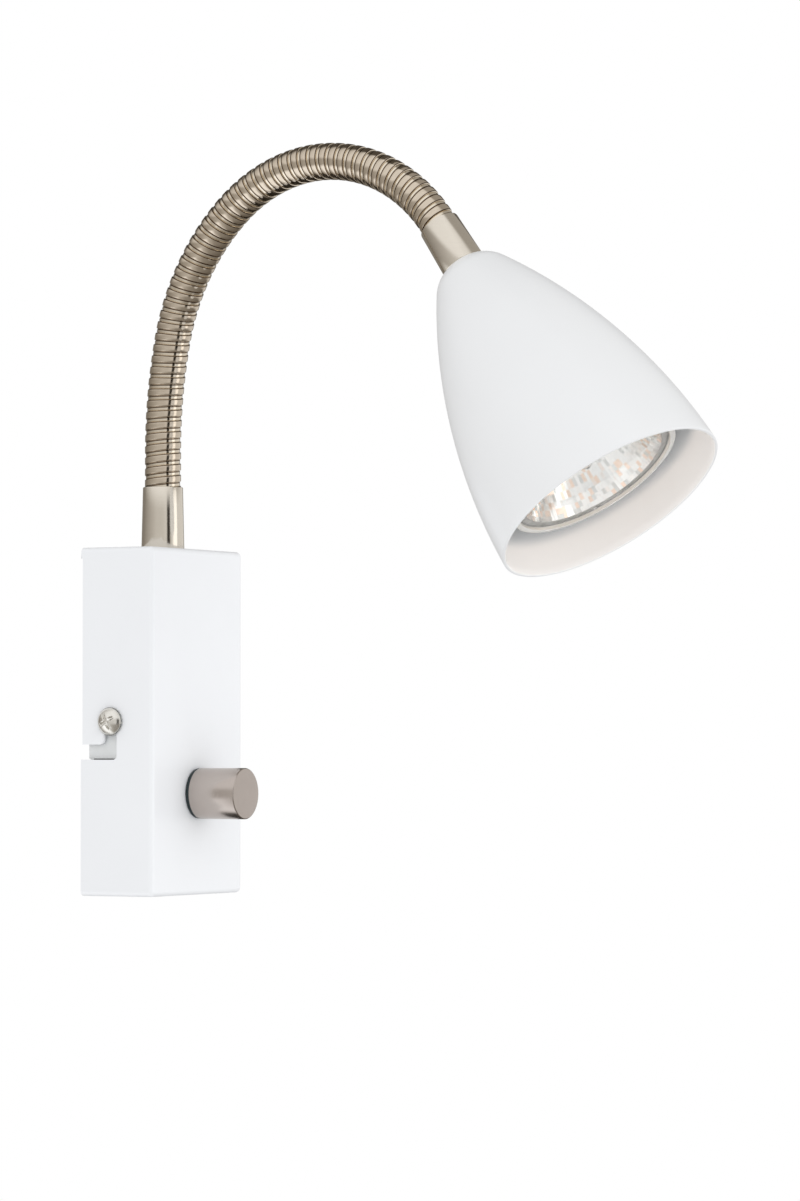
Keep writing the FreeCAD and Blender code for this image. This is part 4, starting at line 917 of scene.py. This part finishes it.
# %% [markdown]
# ## Smooth copies of small pieces
# The box's cover, the wall bracket, the side screws and their lock washers have the right shape
# already, but their triangles are loose, so light breaks on every one. Modelling them again would
# gain nothing. A copy is welded and shaded smooth up to a sharp angle, and a Weighted Normal
# modifier keeps the wide flat faces flat.

# %% Weld and smooth
NODE_WELD = 0.001 * mm


def polished(node, look, angle):
    """A welded, smoothly shaded copy that takes a node's place."""
    record = frame["record"]
    copy = copied(frame["nodes"][node])
    copy.parent = None
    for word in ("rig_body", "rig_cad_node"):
        del copy[word]
    bpy.ops.object.mode_set(mode="EDIT")
    bpy.ops.mesh.select_all(action="SELECT")
    bpy.ops.mesh.remove_doubles(threshold=NODE_WELD)
    body = next(name for name, members in record["behaviour"]["bodies"].items()
                if node in members)
    piece = finished("smooth_" + node, body, look, [node], None, angle)
    even = piece.modifiers.new("even", "WEIGHTED_NORMAL")
    even.keep_sharp = True
    bpy.ops.object.modifier_apply(modifier="even")
    return piece


for node, look, angle in (("cover", "white_enamel", 40.0), ("wall_bracket", "galvanised", 40.0),
                          ("cover_screws", "screw_head", 35.0),
                          ("cover_lock_washers", "zinc", 35.0)):
    print(polished(node, look, angle).name)

# %% [markdown]
# ## The room in the reflections
# Polished metal has no colour of its own to show, only the room around it, and in a white room it
# would vanish. A dome that only reflections see stands in for the room where the picture was
# taken. Its greys go by bearing, counted in turns anticlockwise from the lamp's right as seen from
# above, and were judged from the stripes on the two ferrules: two narrow dark bands beside bright
# ones near the horizon. Above it is darker towards the wall, and below it is dark but for a
# stretch on the left, brighter than white, that lights the underside of the knob. Dark tones are
# a little warmer than light ones.

# %% The greys of the dome
DOME = 2.5
NEAR_HORIZON = ((0.00, 0.45), (0.08, 0.26), (0.23, 0.26), (0.32, 0.40), (0.42, 0.55), (0.486, 0.66),
                (0.58, 0.68), (0.645, 0.78), (0.657, 0.02), (0.693, 0.02), (0.701, 0.60),
                (0.710, 0.60), (0.719, 0.08), (0.736, 0.08), (0.760, 0.72), (0.88, 0.80))
HIGH = ((0.00, 0.09), (0.18, 0.09), (0.27, 0.70), (0.40, 0.95), (0.60, 1.0), (0.70, 0.9),
        (0.77, 0.42), (1.0, 0.42))
LOW = ((0.00, 0.02), (0.20, 0.03), (0.28, 0.70), (0.33, 1.25), (0.43, 1.25), (0.49, 0.60),
       (0.60, 0.35), (1.0, 0.15))
FADE = ((0.22, (0, 0, 0)), (0.42, (1, 1, 1)))
print("greys", len(NEAR_HORIZON) + len(HIGH) + len(LOW))

# %% The dome


def dome_paint():
    paint = Paint("dome", Base_Color=(0, 0, 0, 1), Roughness=1.0, Emission_Strength=1.0)
    x, y, z = paint.axes(paint.place())
    bearing = (y.turn_from(x) + 1.0).fraction()
    level, above, below = (
        paint.ramp(bearing, *((place, (grey, grey ** 1.06, grey ** 1.15)) for place, grey in greys))
        for greys in (NEAR_HORIZON, HIGH, LOW))
    upper = paint.blend(paint.ramp(z / DOME, *FADE), level, above)
    paint.feed("Emission Color", paint.blend(paint.ramp(z / -DOME, *FADE), upper, below))
    return paint.material


start()
bpy.ops.mesh.primitive_uv_sphere_add(segments=64, ring_count=32, radius=DOME)
dome = bpy.context.object
dome.name = "dome"
dome.data.materials.append(dome_paint())
dome.visible_camera = dome.visible_diffuse = dome.visible_shadow = False
dome.visible_transmission = dome.visible_volume_scatter = False
print("stage", dome.name)

# %% [markdown]
# ## A warm glow in the shade
# In the photograph the white inside of the shade is warmer and brighter than the outside. A small
# peach lamp just in front of the bulb's face gives that. It is hidden from reflections, because a
# bright spot in the mirror's facets would give it away.

# %% The glow
glow = bpy.data.objects.new("glow", bpy.data.lights.new("glow", "POINT"))
glow.location = (crown @ Matrix.Translation(Vector((0, 0, FACE - 2.0)) * mm)).translation
glow.data.color = (1.0, 0.80, 0.63)
glow.data.energy = 0.0155
glow.data.shadow_soft_size = 8 * mm
glow.visible_glossy = glow.visible_transmission = False
scene.collection.objects.link(glow)
print("glow", round(glow.data.energy, 4), "W")

# %% [markdown]
# ## Tidy up
# The neck's line has done its work and goes.

# %% Remove the neck's line
bpy.data.objects.remove(neck_line)
start()
